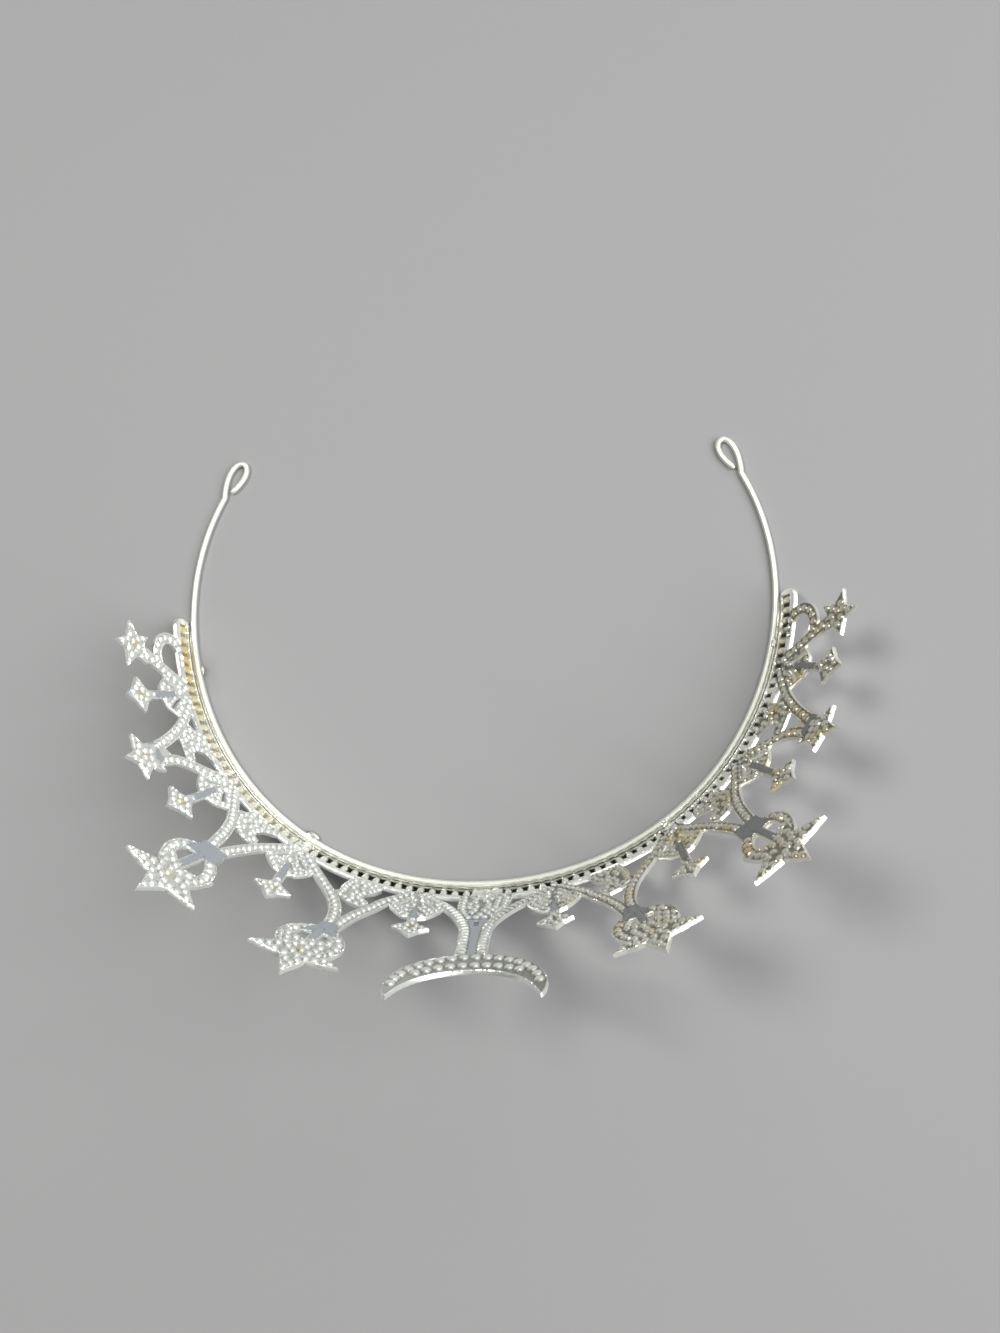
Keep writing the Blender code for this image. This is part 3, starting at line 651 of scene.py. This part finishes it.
def ribbon(surface, path, width, pitch):
    """One row of beads along a line."""
    points = surface.points
    near = np.flatnonzero(((points > path.min(0) - width) & (points < path.max(0) + width)).all(1))
    line, ahead = evenly(path, 0.15)
    length = np.r_[0, np.cumsum(np.linalg.norm(np.diff(line, axis=0), axis=1))]
    best = np.full(len(near), np.inf)
    at = np.zeros(len(near), int)
    for part in np.array_split(np.arange(len(near)), len(near) // POINTS_AT_ONCE + 1):
        gap = np.linalg.norm(points[near[part]][:, None] - line[None], axis=-1)
        at[part] = gap.argmin(1)
        best[part] = gap.min(1)
    offset = points[near] - line[at]
    across = (offset * np.c_[-ahead[:, 1], ahead[:, 0]][at]).sum(1)
    along = length[at] + (offset * ahead[at]).sum(1)
    on = (best < width / 2) & (along > -0.1) & (along < length[-1] + 0.1)
    step = length[-1] / max(2, round(length[-1] / pitch))
    lengthwise = (along[on] / step) % 1.0 - 0.5
    if pitch == RIB_PITCH:
        far = np.maximum(np.abs(lengthwise) / RIB_SHARE, np.abs(across[on]) / (width / 2 - SEAM))
    else:
        far = np.hypot(lengthwise * step, across[on]) / (BEAD_SHARE * step)
    surface.beads(near[on], dome(far, BEAD_PROUD), far, 0.0)


def bead_field(surface, outline, beads, lift):
    """Round beads inside an outline."""
    here = np.flatnonzero(inside(surface.points, outline))
    spots = surface.points[here]
    rise = np.zeros(len(here))
    nearest = np.full(len(here), FAR_AWAY)
    for spot, radius in beads:
        far = np.linalg.norm(spots - spot, axis=1) / radius
        nearest = np.minimum(nearest, far)
        rise = np.maximum(rise, dome(far, BEAD_PROUD * min(1.0, radius / FULL_BEAD)))
    rise *= ramp(to_edge(spots, outline), 0.6 * SEAM, 1.4 * SEAM)
    surface.beads(here, rise, nearest, lift)


def raised(surface, outline, proud, edge):
    """A smooth part that stands a little above or below the rest."""
    here = np.flatnonzero(inside(surface.points, outline))
    depth = to_edge(surface.points[here], outline)
    surface.height[here] = proud * ramp(depth, -0.1, edge)
    # Painted shade along the edge of the raised part
    surface.painted_shade[here] = 0.5 * (1 - ramp(depth, 0, 0.25))
    surface.smooth[here] = 1.0
    surface.covered[here] = True


def crumpled(points, scale, seed):
    """An uneven surface between 0 and 1, as of metal that has run."""
    values = [noise.noise(Vector((x * scale, y * scale, seed))) for x, y in points]
    return np.clip(0.5 + 0.9 * np.array(values), 0, 1)


def band(surface):
    """The rail, the channel with its hanging beads, the lip, and the pads of run metal across the channel."""
    s, h = band_place(surface.points)
    away = np.abs(s)
    low = -BAND_FOOT + LIP_HEIGHT + LIP_WIDENS * ramp(away, *LIP_WIDENS_OVER)
    high = BAND_HEIGHT - RAIL_HEIGHT + RAIL_NARROWS * (1 - ramp(away, *RAIL_NARROWS_OVER))
    rail = (h > high) & (h < BAND_HEIGHT) & (away < BAND_HALF_LENGTH) & ~surface.covered
    round_over = np.sqrt(np.clip(1 - ((h - BAND_HEIGHT + RAIL_HEIGHT / 2) / (RAIL_HEIGHT / 2)) ** 2, 0, 1))
    surface.height[rail] = RAIL_PROUD * round_over[rail]
    surface.smooth[rail] = 0.1
    for start, end in channel_runs():
        here = np.flatnonzero((away > start) & (away < end) & (h > low) & (h < high))
        x, y = away[here], h[here]
        depth = np.minimum.reduce([x - start, end - x, y - low[here], high[here] - y])
        pitch = (end - start) / max(1, round((end - start) / CHANNEL_BEAD_PITCH))
        across = (((x - start) / pitch) % 1.0 - 0.5) * pitch
        hang = y - BEAD_HANGS_AT
        room = np.where(hang > 0, high[here] - BEAD_HANGS_AT + 0.15, BEAD_HANGS_AT - low[here] - 0.05)
        far = np.hypot(across / CHANNEL_BEAD_HALF, hang / room)
        bead = dome(far, CHANNEL_DEPTH + CHANNEL_BEAD_PROUD)
        surface.height[here] = -CHANNEL_DEPTH * ramp(depth, 0, 0.28) + bead
        # Painted shade in the channel round the hanging beads, strongest at the front
        left = LEFT_SHADE_LESS * ramp(-s[here], *LEFT_SHADE_OVER)
        right = RIGHT_SHADE_LESS * ramp(s[here], *RIGHT_SHADE_OVER)
        deepest = CHANNEL_SHADE - left - right
        surface.painted_shade[here] = deepest * ramp(depth, 0.0, 0.25) * np.clip(1 - bead / 0.35, 0, 1)
        surface.smooth[here] = 0.0
        gilt = sum(share * ramp(side * s[here], *stretch) for side, stretch, share in GILT)
        surface.warm[here] = CHANNEL_WARM + gilt
    pads = (away < CENTRE_PAD_HALF) | (np.abs(away - JUNCTION_PAD_AT) < JUNCTION_PAD_HALF)
    here = np.flatnonzero(pads & (h > low) & (h < BAND_HEIGHT - 0.3))
    run = crumpled(surface.points[here], 0.75, 4.0)
    surface.height[here] = PAD_PROUD + PAD_LUMPS * run
    # Painted shade in the low places between the lumps
    surface.painted_shade[here] = 0.55 * (1 - ramp(run, 0.15, 0.45))
    surface.smooth[here] = 0.0
    lip = (h < low) & (away < BAND_HALF_LENGTH)
    surface.height[lip] = LIP_PROUD
    surface.painted_shade[lip] = 0.0
    surface.smooth[lip] = 0.1


def shaped(design, points, room):
    """The surface with every layer of the design on it."""
    surface = Surface(points, room)
    for layer, settings in design.layers:
        layer(surface, *settings)
    band(surface)
    for spot, reach in design.warm:
        gap = np.linalg.norm(points - spot, axis=1)
        surface.warm = np.maximum(surface.warm, np.clip(1 - gap / reach, 0, 1))
    s, h = band_place(points)
    # The right half of the crest turns yellow: patches of worn plate, and an even yellow cast over the whole
    # half that is painted shade
    worn_and_shaded_half = ramp(s, *WORN_AND_SHADED_OVER) * (h > BAND_HEIGHT)
    worn = ramp(crumpled(points, 0.16, 9.0), 0.45, 0.9)
    yellowed_and_shaded = (WARM_WORN_AND_SHADED + WORN_WARM_MORE * worn) * worn_and_shaded_half * (1 - surface.smooth)
    surface.warm = np.maximum(surface.warm, yellowed_and_shaded)
    # Painted shade on the right half of the crest, heavy on smooth parts, and painted shade in the sunk
    # places that grows towards the right
    right_half_shade = np.where(surface.smooth == 1, SMOOTH_SHADE_RIGHT, BEADED_SHADE_RIGHT * surface.off_corner) * worn_and_shaded_half
    shade_added = np.maximum(SUNK_SHADE * surface.sunk * ramp(s, *SUNK_SHADE_OVER), right_half_shade)
    surface.painted_shade = np.maximum(surface.painted_shade, np.minimum(surface.painted_shade + shade_added, 1.0))
    return surface


def rooms(points, tree):
    return np.array([tree.find((x, y, 0))[2] for x, y in points])


def grid_inside(loops, pitch, edge_tree, least):
    """Points of a staggered grid that lie in the metal and clear of its edge."""
    a = np.vstack(loops)
    b = np.vstack([np.roll(loop, -1, axis=0) for loop in loops])
    low, high = a.min(0), a.max(0)
    found = []
    for row, y in enumerate(np.arange(low[1] + 0.013, high[1], pitch * 0.866)):
        over = (a[:, 1] > y) != (b[:, 1] > y)
        cross = np.sort(a[over, 0] + (y - a[over, 1]) * (b[over, 0] - a[over, 0]) / (b[over, 1] - a[over, 1]))
        for start, end in zip(cross[::2], cross[1::2]):
            first = math.ceil((start + least - low[0]) / pitch - 0.5 * (row % 2))
            last = math.floor((end - least - low[0]) / pitch - 0.5 * (row % 2))
            for k in range(first, last + 1):
                x = low[0] + (k + 0.5 * (row % 2)) * pitch
                if edge_tree.find((x, y, 0))[2] > least:
                    found.append((x, y))
    return np.array(found)


def edge_tree_of(loops):
    dense = []
    for loop in loops:
        for a, b in zip(loop, np.roll(loop, -1, axis=0)):
            dense += [a + (b - a) * k / 4 for k in range(4)]
    tree = kdtree.KDTree(len(dense))
    for i, p in enumerate(dense):
        tree.insert((p[0], p[1], 0), i)
    tree.balance()
    return tree


def inset_ring(loops, tree):
    """One point just inside each edge point, where there is room."""
    found = []
    for loop in loops:
        ahead = np.roll(loop, -1, axis=0) - np.roll(loop, 1, axis=0)
        ahead /= np.maximum(np.linalg.norm(ahead, axis=1), 1e-9)[:, None]
        for p in loop + RING_INSET * np.c_[-ahead[:, 1], ahead[:, 0]]:
            if tree.find((p[0], p[1], 0))[2] > 0.8 * RING_INSET:
                found.append(p)
    return np.array(found)


def ring_radius(phi):
    egg_shaped = RING_RADIUS - RING_WIDER * np.cos(2 * phi) + RING_EGG * np.cos(3 * phi)
    return egg_shaped - RING_SQUARED * np.cos(4 * phi) - RING_LOPSIDED * np.sin(2 * phi)


def ring_point(phi):
    radius = ring_radius(phi)
    return np.stack([radius * np.sin(phi), -radius * np.cos(phi)], -1)


def ring_outward(phi):
    ahead = ring_point(phi + 1e-3) - ring_point(phi - 1e-3)
    ahead /= np.linalg.norm(ahead, axis=-1)[..., None]
    return np.stack([ahead[..., 1], -ahead[..., 0]], -1)


def face_offset():
    """How far the foot of the face stands outside the middle of the wire."""
    lean = math.radians(LEAN)
    return WIRE_RADIUS + WIRE_GAP + BAND_FOOT * math.sin(lean) + LIP_PROUD * math.cos(lean)


def base_line():
    """Angles round the ring and the length along the foot of the face at each of them."""
    sweep = np.radians(np.linspace(-175, 175, 2801))
    base = ring_point(sweep) + ring_outward(sweep) * face_offset()
    length = np.r_[0, np.cumsum(np.linalg.norm(np.diff(base, axis=0), axis=1))]
    return sweep, length - np.interp(0, sweep, length)


def rolled_up(flat, depth):
    """Flat places and depths behind the face, as places on the leaning crest."""
    sweep, length = base_line()
    s, h = band_place(flat)
    phi = np.interp(s, length, sweep)
    lean = np.radians(LEAN + LEAN_TWIST * (phi**3 - 0.6 * phi))
    out = face_offset() + np.sin(lean) * h + np.cos(lean) * depth
    z = np.cos(lean) * h - np.sin(lean) * depth
    level = ring_point(phi) + ring_outward(phi) * out[:, None]
    return np.c_[level, np.maximum(z, -WIRE_RADIUS) + WIRE_RADIUS]


def casting_mesh():
    """The casting with all its beads: places, faces, and the shares that colour it."""
    design = Design()
    design.half(1)
    design.half(-1)
    design.middle()
    loops = outline_loops(design)
    tree = edge_tree_of(loops)
    edge = np.vstack(loops)
    count = len(edge)
    lines = []
    first = 0
    for loop in loops:
        lines += [(first + i, first + (i + 1) % len(loop)) for i in range(len(loop))]
        first += len(loop)
    ring = inset_ring(loops, tree)

    def sheet(pitch):
        points = np.vstack([edge, ring, grid_inside(loops, pitch, tree, RING_INSET + 0.35 * pitch)])
        verts, triangles, origins = triangulate(points, lines)
        number = np.array([min(source) if source else -1 for source in origins])
        rim = (number >= 0) & (number < count)
        sure = ~rim[triangles].all(1)
        doubtful = np.flatnonzero(~sure)
        centres = verts[triangles[doubtful]].mean(1)
        sure[doubtful] = sum(inside(centres, loop).astype(int) for loop in loops) % 2 == 1
        used = np.zeros(len(verts), bool)
        used[triangles[sure]] = True
        return verts, triangles[sure], np.where(rim, number, -1), rim

    front, front_faces, front_edge, front_rim = sheet(FRONT_GRID)
    back, back_faces, back_edge, back_rim = sheet(BACK_GRID)
    face = shaped(design, front, rooms(front, tree))
    _, h = band_place(front)
    at_foot = h < -BAND_FOOT + 0.5 * LIP_HEIGHT
    height = np.where(front_rim, np.minimum(face.height, 0.0) - EDGE_ROUND, face.height)
    height = np.where(front_rim & at_foot, LIP_PROUD, height)
    rear = shaped(design, back, rooms(back, tree))
    _, h = band_place(back)
    top = BEAD_PROUD + FLOOR
    carved = np.where(h < BACK_CARVED_ABOVE, 0.0, BACK_SHARE * (top - np.minimum(rear.height, top)))
    back_depth = THICKNESS - carved - np.where(back_rim, 0.5 * EDGE_ROUND, 0.0)
    places = np.vstack([rolled_up(front, -height), rolled_up(back, back_depth)])
    front_of = {n: i for i, n in enumerate(front_edge) if n >= 0}
    back_of = {n: i + len(front) for i, n in enumerate(back_edge) if n >= 0}
    faces = [tuple(f) for f in front_faces.tolist()]
    faces += [tuple(f[::-1]) for f in (back_faces + len(front)).tolist()]
    for a, b in lines:
        faces.append((front_of[a], back_of[a], back_of[b], front_of[b]))
    shares = {
        # The back takes a share of the painted shade and of the yellow
        "painted_shade": np.r_[face.painted_shade, BACK_SHADE * rear.painted_shade],
        "warm": np.r_[face.warm, BACK_WARM * rear.warm],
        "smooth": np.r_[face.smooth, rear.smooth],
    }
    return places, faces, shares


def wire_path():
    """Middle line of the wire in plan, with the loop bent inward at each end."""
    end = math.radians(WIRE_END_ANGLE)
    count = round(2 * end * RING_RADIUS / WIRE_STEP)
    path = ring_point(np.linspace(-end, end, count + 1))
    loops = []
    for side, foot in ((1, path[-1]), (-1, path[0])):
        outward = ring_outward(np.array(side * end))
        ahead = side * np.array([-outward[1], outward[0]])
        inward = -outward
        widest = 0.77
        legs_apart = 2 * WIRE_RADIUS + WIRE_GAP
        turn = np.radians(np.linspace(0, 360, 721))
        apart = LOOP_WIDTH / widest * np.sin(turn) * np.sin(turn / 2)
        last = np.flatnonzero((turn > math.pi) & (-apart > legs_apart)).max()
        turn = np.linspace(0, turn[last], 60)[1:]
        along = LOOP_LENGTH * 0.5 * (1 - np.cos(turn))
        across = LOOP_WIDTH / widest * 0.5 * np.sin(turn) * np.sin(turn / 2)
        loops.append(foot + along[:, None] * ahead - across[:, None] * inward)
    return np.vstack([loops[1][::-1], path, loops[0]])


def faces_between(rows, sides):
    """Faces between rows of points that each go once round."""
    faces = []
    for i in range(rows - 1):
        for k in range(sides):
            after = (k + 1) % sides
            faces.append((i * sides + k, (i + 1) * sides + k, (i + 1) * sides + after, i * sides + after))
    return faces


def tube(path, radii, sides):
    """A round tube along a line, closed at both ends."""
    ahead = np.gradient(path, axis=0)
    ahead /= np.linalg.norm(ahead, axis=1)[:, None]
    outward = np.c_[ahead[:, 1], -ahead[:, 0], np.zeros(len(path))]
    outward /= np.linalg.norm(outward, axis=1)[:, None]
    up = np.cross(outward, ahead)
    up *= np.sign(up[:, 2])[:, None]
    angles = 2 * math.pi * np.arange(sides) / sides
    ring = np.cos(angles)[None, :, None] * outward[:, None] + np.sin(angles)[None, :, None] * up[:, None]
    places = (path[:, None] + np.asarray(radii)[:, None, None] * ring).reshape(-1, 3)
    faces = faces_between(len(path), sides)
    faces.append(tuple(range(sides)))
    faces.append(tuple(range(len(places) - sides, len(places)))[::-1])
    return places, faces


def wire_mesh():
    plan = wire_path()
    path = np.c_[plan, np.full(len(plan), WIRE_RADIUS)]
    radii = np.full(len(path), WIRE_RADIUS)
    for k, share in enumerate(WIRE_END_SHARES):
        radii[k] *= share
        radii[-1 - k] *= share
    return tube(path, radii, WIRE_SIDES)


def lump(centre, size, along, seed):
    """A drop of solder: a ball stretched along the wire, with an uneven surface."""
    rings, sides = 14, 20
    across = np.array((-along[1], along[0]))
    places = []
    for i in range(1, rings):
        tilt = math.pi * i / rings
        for k in range(sides):
            turn = 2 * math.pi * k / sides
            d = np.array((math.sin(tilt) * math.cos(turn), math.sin(tilt) * math.sin(turn), math.cos(tilt)))
            uneven = 1 + DROP_UNEVEN * noise.noise(Vector(d * 1.9 + seed))
            level = along * d[0] * size[0] + across * d[1] * size[1]
            height = max(DROP_LOWEST, centre[2] + uneven * d[2] * size[2])
            places.append((*(centre[:2] + uneven * level), height))
    places.append((centre[0], centre[1], centre[2] + size[2]))
    places.append((centre[0], centre[1], centre[2] - size[2]))
    faces = faces_between(rings - 1, sides)
    top, bottom = len(places) - 2, len(places) - 1
    for k in range(sides):
        after = (k + 1) % sides
        faces.append((top, k, after))
        faces.append((bottom, (rings - 2) * sides + after, (rings - 2) * sides + k))
    return np.array(places), faces


def solder_meshes():
    """The seam between wire and band, and the drops at four places along it."""
    sweep, length = base_line()
    end = BAND_HALF_LENGTH - SOLDER_END_GAP
    s = np.linspace(-end, end, 420)
    phi = np.interp(s, length, sweep)
    out = WIRE_RADIUS + SOLDER_OUT
    plan = ring_point(phi) + ring_outward(phi) * out
    wave = np.array([noise.noise(Vector((x * 0.35, 3.0, 0.0))) for x in s])
    path = np.c_[plan, SOLDER_LEVEL + 0.08 * wave]
    radii = SOLDER_RADIUS + 0.05 * wave
    tapered = len(SOLDER_TAPER)
    radii[:tapered] *= SOLDER_TAPER
    radii[-tapered:] *= SOLDER_TAPER[::-1]
    meshes = [tube(path, radii, 10)]
    for number, (place, offset, size) in enumerate(SOLDER_DROPS):
        angle = float(np.interp(place, length, sweep))
        outward = ring_outward(np.array(angle))
        along = np.array((-outward[1], outward[0]))
        spot = ring_point(np.array(angle)) + outward * offset
        meshes.append(lump(np.array((*spot, DROP_LEVEL)), size, along, 7.3 * number))
    return meshes


def joined_mesh(meshes):
    places, faces, first = [], [], 0
    for points, polygons in meshes:
        places.append(points)
        faces += [tuple(int(i) + first for i in f) for f in polygons]
        first += len(points)
    return np.vstack(places), faces


def piece(name, places, faces, material, shares=None):
    """One object from places in millimetres, with the shares that its material reads."""
    mesh = bpy.data.meshes.new(name)
    mesh.from_pydata(((places - MIDDLE) * MM).tolist(), [], faces)
    for share, values in (shares or {}).items():
        layer = mesh.attributes.new(share, "FLOAT", "POINT")
        layer.data.foreach_set("value", np.ascontiguousarray(values, np.float32))
    mesh.shade_smooth()
    mesh.set_sharp_from_angle(angle=math.radians(CREASE_ANGLE))
    mesh.materials.append(material)
    made = bpy.data.objects.new(name, mesh)
    bpy.context.scene.collection.objects.link(made)
    return made


class Nodes:
    """Short ways to add the nodes of one material."""

    def __init__(self, name):
        self.material = bpy.data.materials.new(name)
        self.material.use_nodes = True
        self.tree = self.material.node_tree
        self.shader = self.tree.nodes["Principled BSDF"]

    def add(self, kind, inputs=None, **settings):
        made = self.tree.nodes.new(kind)
        for key, value in settings.items():
            setattr(made, key, value)
        for key, value in (inputs or {}).items():
            self.feed(made.inputs[key], value)
        return made

    def feed(self, socket, value):
        if isinstance(value, bpy.types.NodeSocket):
            self.tree.links.new(value, socket)
        else:
            socket.default_value = value

    def noise(self, scale, detail=3.0, roughness=0.5):
        where = self.add("ShaderNodeTexCoord").outputs["Object"]
        inputs = {"Vector": where, "Scale": scale, "Detail": detail, "Roughness": roughness}
        return self.add("ShaderNodeTexNoise", inputs).outputs["Fac"]

    def share(self, name):
        return self.add("ShaderNodeAttribute", attribute_name=name).outputs["Fac"]

    def math(self, operation, a, b, third=0.0, clamp=False):
        made = self.add("ShaderNodeMath", {0: a, 1: b, 2: third}, operation=operation, use_clamp=clamp)
        return made.outputs[0]

    def between(self, value, low, high, to_low, to_high):
        made = self.add("ShaderNodeMapRange", {"Value": value, "From Min": low, "From Max": high,
                                               "To Min": to_low, "To Max": to_high})
        return made.outputs["Result"]

    def mix(self, share, a, b):
        made = self.add("ShaderNodeMix", data_type="RGBA")
        self.feed(made.inputs[0], share)
        self.feed(made.inputs[6], a)
        self.feed(made.inputs[7], b)
        return made.outputs[2]

    def clouded(self, cloud, bright, dark):
        """Two colours that drift into each other."""
        return self.mix(self.between(cloud, 0.35, 0.65, 0.0, 1.0), bright, dark)

    def grained(self, height, strength, distance):
        """Fine unevenness of the surface."""
        bump = self.add("ShaderNodeBump", {"Height": height, "Strength": strength, "Distance": distance})
        self.feed(self.shader.inputs["Normal"], bump.outputs["Normal"])


def cast_silver():
    """Bright plate on a cast surface: painted shade in the hollows and a near-black painted shadow in the
    channel, a darker painted reflection on smooth parts, yellow where it is thin, with a fine grain.
    """
    n = Nodes("cast_silver_plate")
    cloud = n.noise(140.0, 4.0, 0.6)
    grain = n.noise(2600.0, 2.0)
    painted_shade = n.share("painted_shade")
    plate = n.clouded(cloud, PLATE_BRIGHT, PLATE_CLOUDED)
    # Smooth parts take a darker blue-grey base colour: a painted reflection of dark surroundings
    plate = n.mix(n.math("MULTIPLY", n.share("smooth"), 0.75), plate, SMOOTH_PAINTED_REFLECTION)
    yellow = n.math("MULTIPLY", n.share("warm"), n.between(cloud, 0.3, 0.6, 0.35, 1.0), clamp=True)
    plate = n.mix(yellow, plate, PLATE_WORN)
    # Painted shade in the hollows, broken up by the grain
    shaded = n.math("MULTIPLY", painted_shade, n.between(grain, 0.2, 0.8, 0.7, 1.0), clamp=True)
    colour = n.mix(shaded, plate, HOLLOW_PAINTED_SHADE)
    # Where the painted shade passes one, as in the channel, it turns to a near-black painted shadow
    deepest = n.math("MULTIPLY_ADD", painted_shade, 2.0, clamp=True, third=-2.0)
    colour = n.mix(deepest, colour, CHANNEL_PAINTED_SHADOW)
    n.feed(n.shader.inputs["Base Color"], colour)
    n.shader.inputs["Metallic"].default_value = 0.68
    rough = n.math("ADD", n.between(cloud, 0.3, 0.7, 0.26, 0.34), n.between(shaded, 0.0, 1.0, 0.0, 0.12))
    n.feed(n.shader.inputs["Roughness"], rough)
    n.grained(grain, 0.22, 0.00006)
    return n.material


def wire_silver():
    """Drawn wire: brighter and smoother than the casting, with faint mottling."""
    n = Nodes("wire_silver_plate")
    cloud = n.noise(90.0, 4.0, 0.6)
    grain = n.noise(1800.0, 2.0)
    n.feed(n.shader.inputs["Base Color"], n.clouded(cloud, WIRE_BRIGHT, WIRE_CLOUDED))
    n.shader.inputs["Metallic"].default_value = 0.65
    n.feed(n.shader.inputs["Roughness"], n.between(cloud, 0.3, 0.7, 0.36, 0.48))
    n.grained(grain, 0.15, 0.00005)
    return n.material


def solder():
    """Solder: greyer, rougher and lumpier than the plate round it."""
    n = Nodes("solder_grey")
    cloud = n.noise(420.0, 4.0, 0.6)
    n.feed(n.shader.inputs["Base Color"], n.clouded(cloud, SOLDER_BRIGHT, SOLDER_CLOUDED))
    n.shader.inputs["Metallic"].default_value = 1.0
    n.feed(n.shader.inputs["Roughness"], n.between(cloud, 0.3, 0.7, 0.25, 0.42))
    n.grained(cloud, 0.35, 0.0002)
    return n.material


places, faces, shares = casting_mesh()
crest = piece("crest_silver", places, faces, cast_silver(), shares)
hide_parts("crest_casting")
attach(crest, "root")

wire = piece("headband_silver", *wire_mesh(), wire_silver())
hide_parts("headband_wire")
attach(wire, "root")

seam = piece("solder_seam", *joined_mesh(solder_meshes()), solder())
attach(seam, "root")

# Floor
floor_material = bpy.data.materials.new("pale_floor")
floor_material.use_nodes = True
floor_shader = floor_material.node_tree.nodes["Principled BSDF"]
floor_shader.inputs["Base Color"].default_value = GROUND_COLOUR
floor_shader.inputs["Roughness"].default_value = 0.9
floor_shader.inputs["Specular IOR Level"].default_value = 0.1
corners = [(GROUND_REACH * x, GROUND_REACH * y, 0) for x, y in ((-1, -1), (1, -1), (1, 1), (-1, 1))]
floor_mesh = bpy.data.meshes.new("floor")
floor_mesh.from_pydata(corners, [], [(0, 1, 2, 3)])
floor_mesh.materials.append(floor_material)
floor = bpy.data.objects.new("floor", floor_mesh)
bpy.context.scene.collection.objects.link(floor)

# Camera at the photograph's place: looking almost straight down from above the ring
eye = (np.array((EYE[0], EYE[1], EYE[2] + WIRE_RADIUS)) - MIDDLE) * MM
turned = Matrix.Rotation(ROLL, 4, "Y") @ Matrix.Rotation(PITCH, 4, "X") @ Matrix.Rotation(YAW, 4, "Z")
lens = bpy.data.cameras.new("camera")
lens.sensor_fit = "VERTICAL"
lens.sensor_height = SENSOR_HEIGHT
lens.lens = SENSOR_HEIGHT * FOCAL_PIXELS / PHOTO_HEIGHT
lens.clip_start = 0.005
camera = bpy.data.objects.new("camera", lens)
camera.matrix_world = Matrix.Translation(Vector(eye)) @ turned
bpy.context.scene.collection.objects.link(camera)
bpy.context.scene.camera = camera


def softbox(name, place, size, power, colour):
    """A soft light that faces the object."""
    light = bpy.data.lights.new(name, "AREA")
    light.shape = "RECTANGLE"
    light.size, light.size_y = size
    light.energy = power
    light.color = colour
    lamp = bpy.data.objects.new(name, light)
    lamp.location = place
    lamp.rotation_euler = (Vector((0, -0.02, 0.02)) - Vector(place)).to_track_quat("-Z", "Y").to_euler()
    bpy.context.scene.collection.objects.link(lamp)


softbox("key", (0.78, -0.18, 0.80), (1.1, 1.1), 17.0, (1.0, 0.99, 0.96))
softbox("window", (0.45, 0.95, 0.60), (1.2, 0.8), 6.0, (0.97, 0.99, 1.0))
softbox("overhead", (-0.42, 0.12, 0.75), (0.2, 0.2), 4.6, (1.0, 0.98, 0.92))
world = bpy.data.worlds.new("studio")
world.use_nodes = True
world.node_tree.nodes["Background"].inputs["Color"].default_value = (0.80, 0.86, 0.95, 1)
world.node_tree.nodes["Background"].inputs["Strength"].default_value = 0.05
bpy.context.scene.world = world
bpy.context.scene.view_settings.view_transform = "Standard"
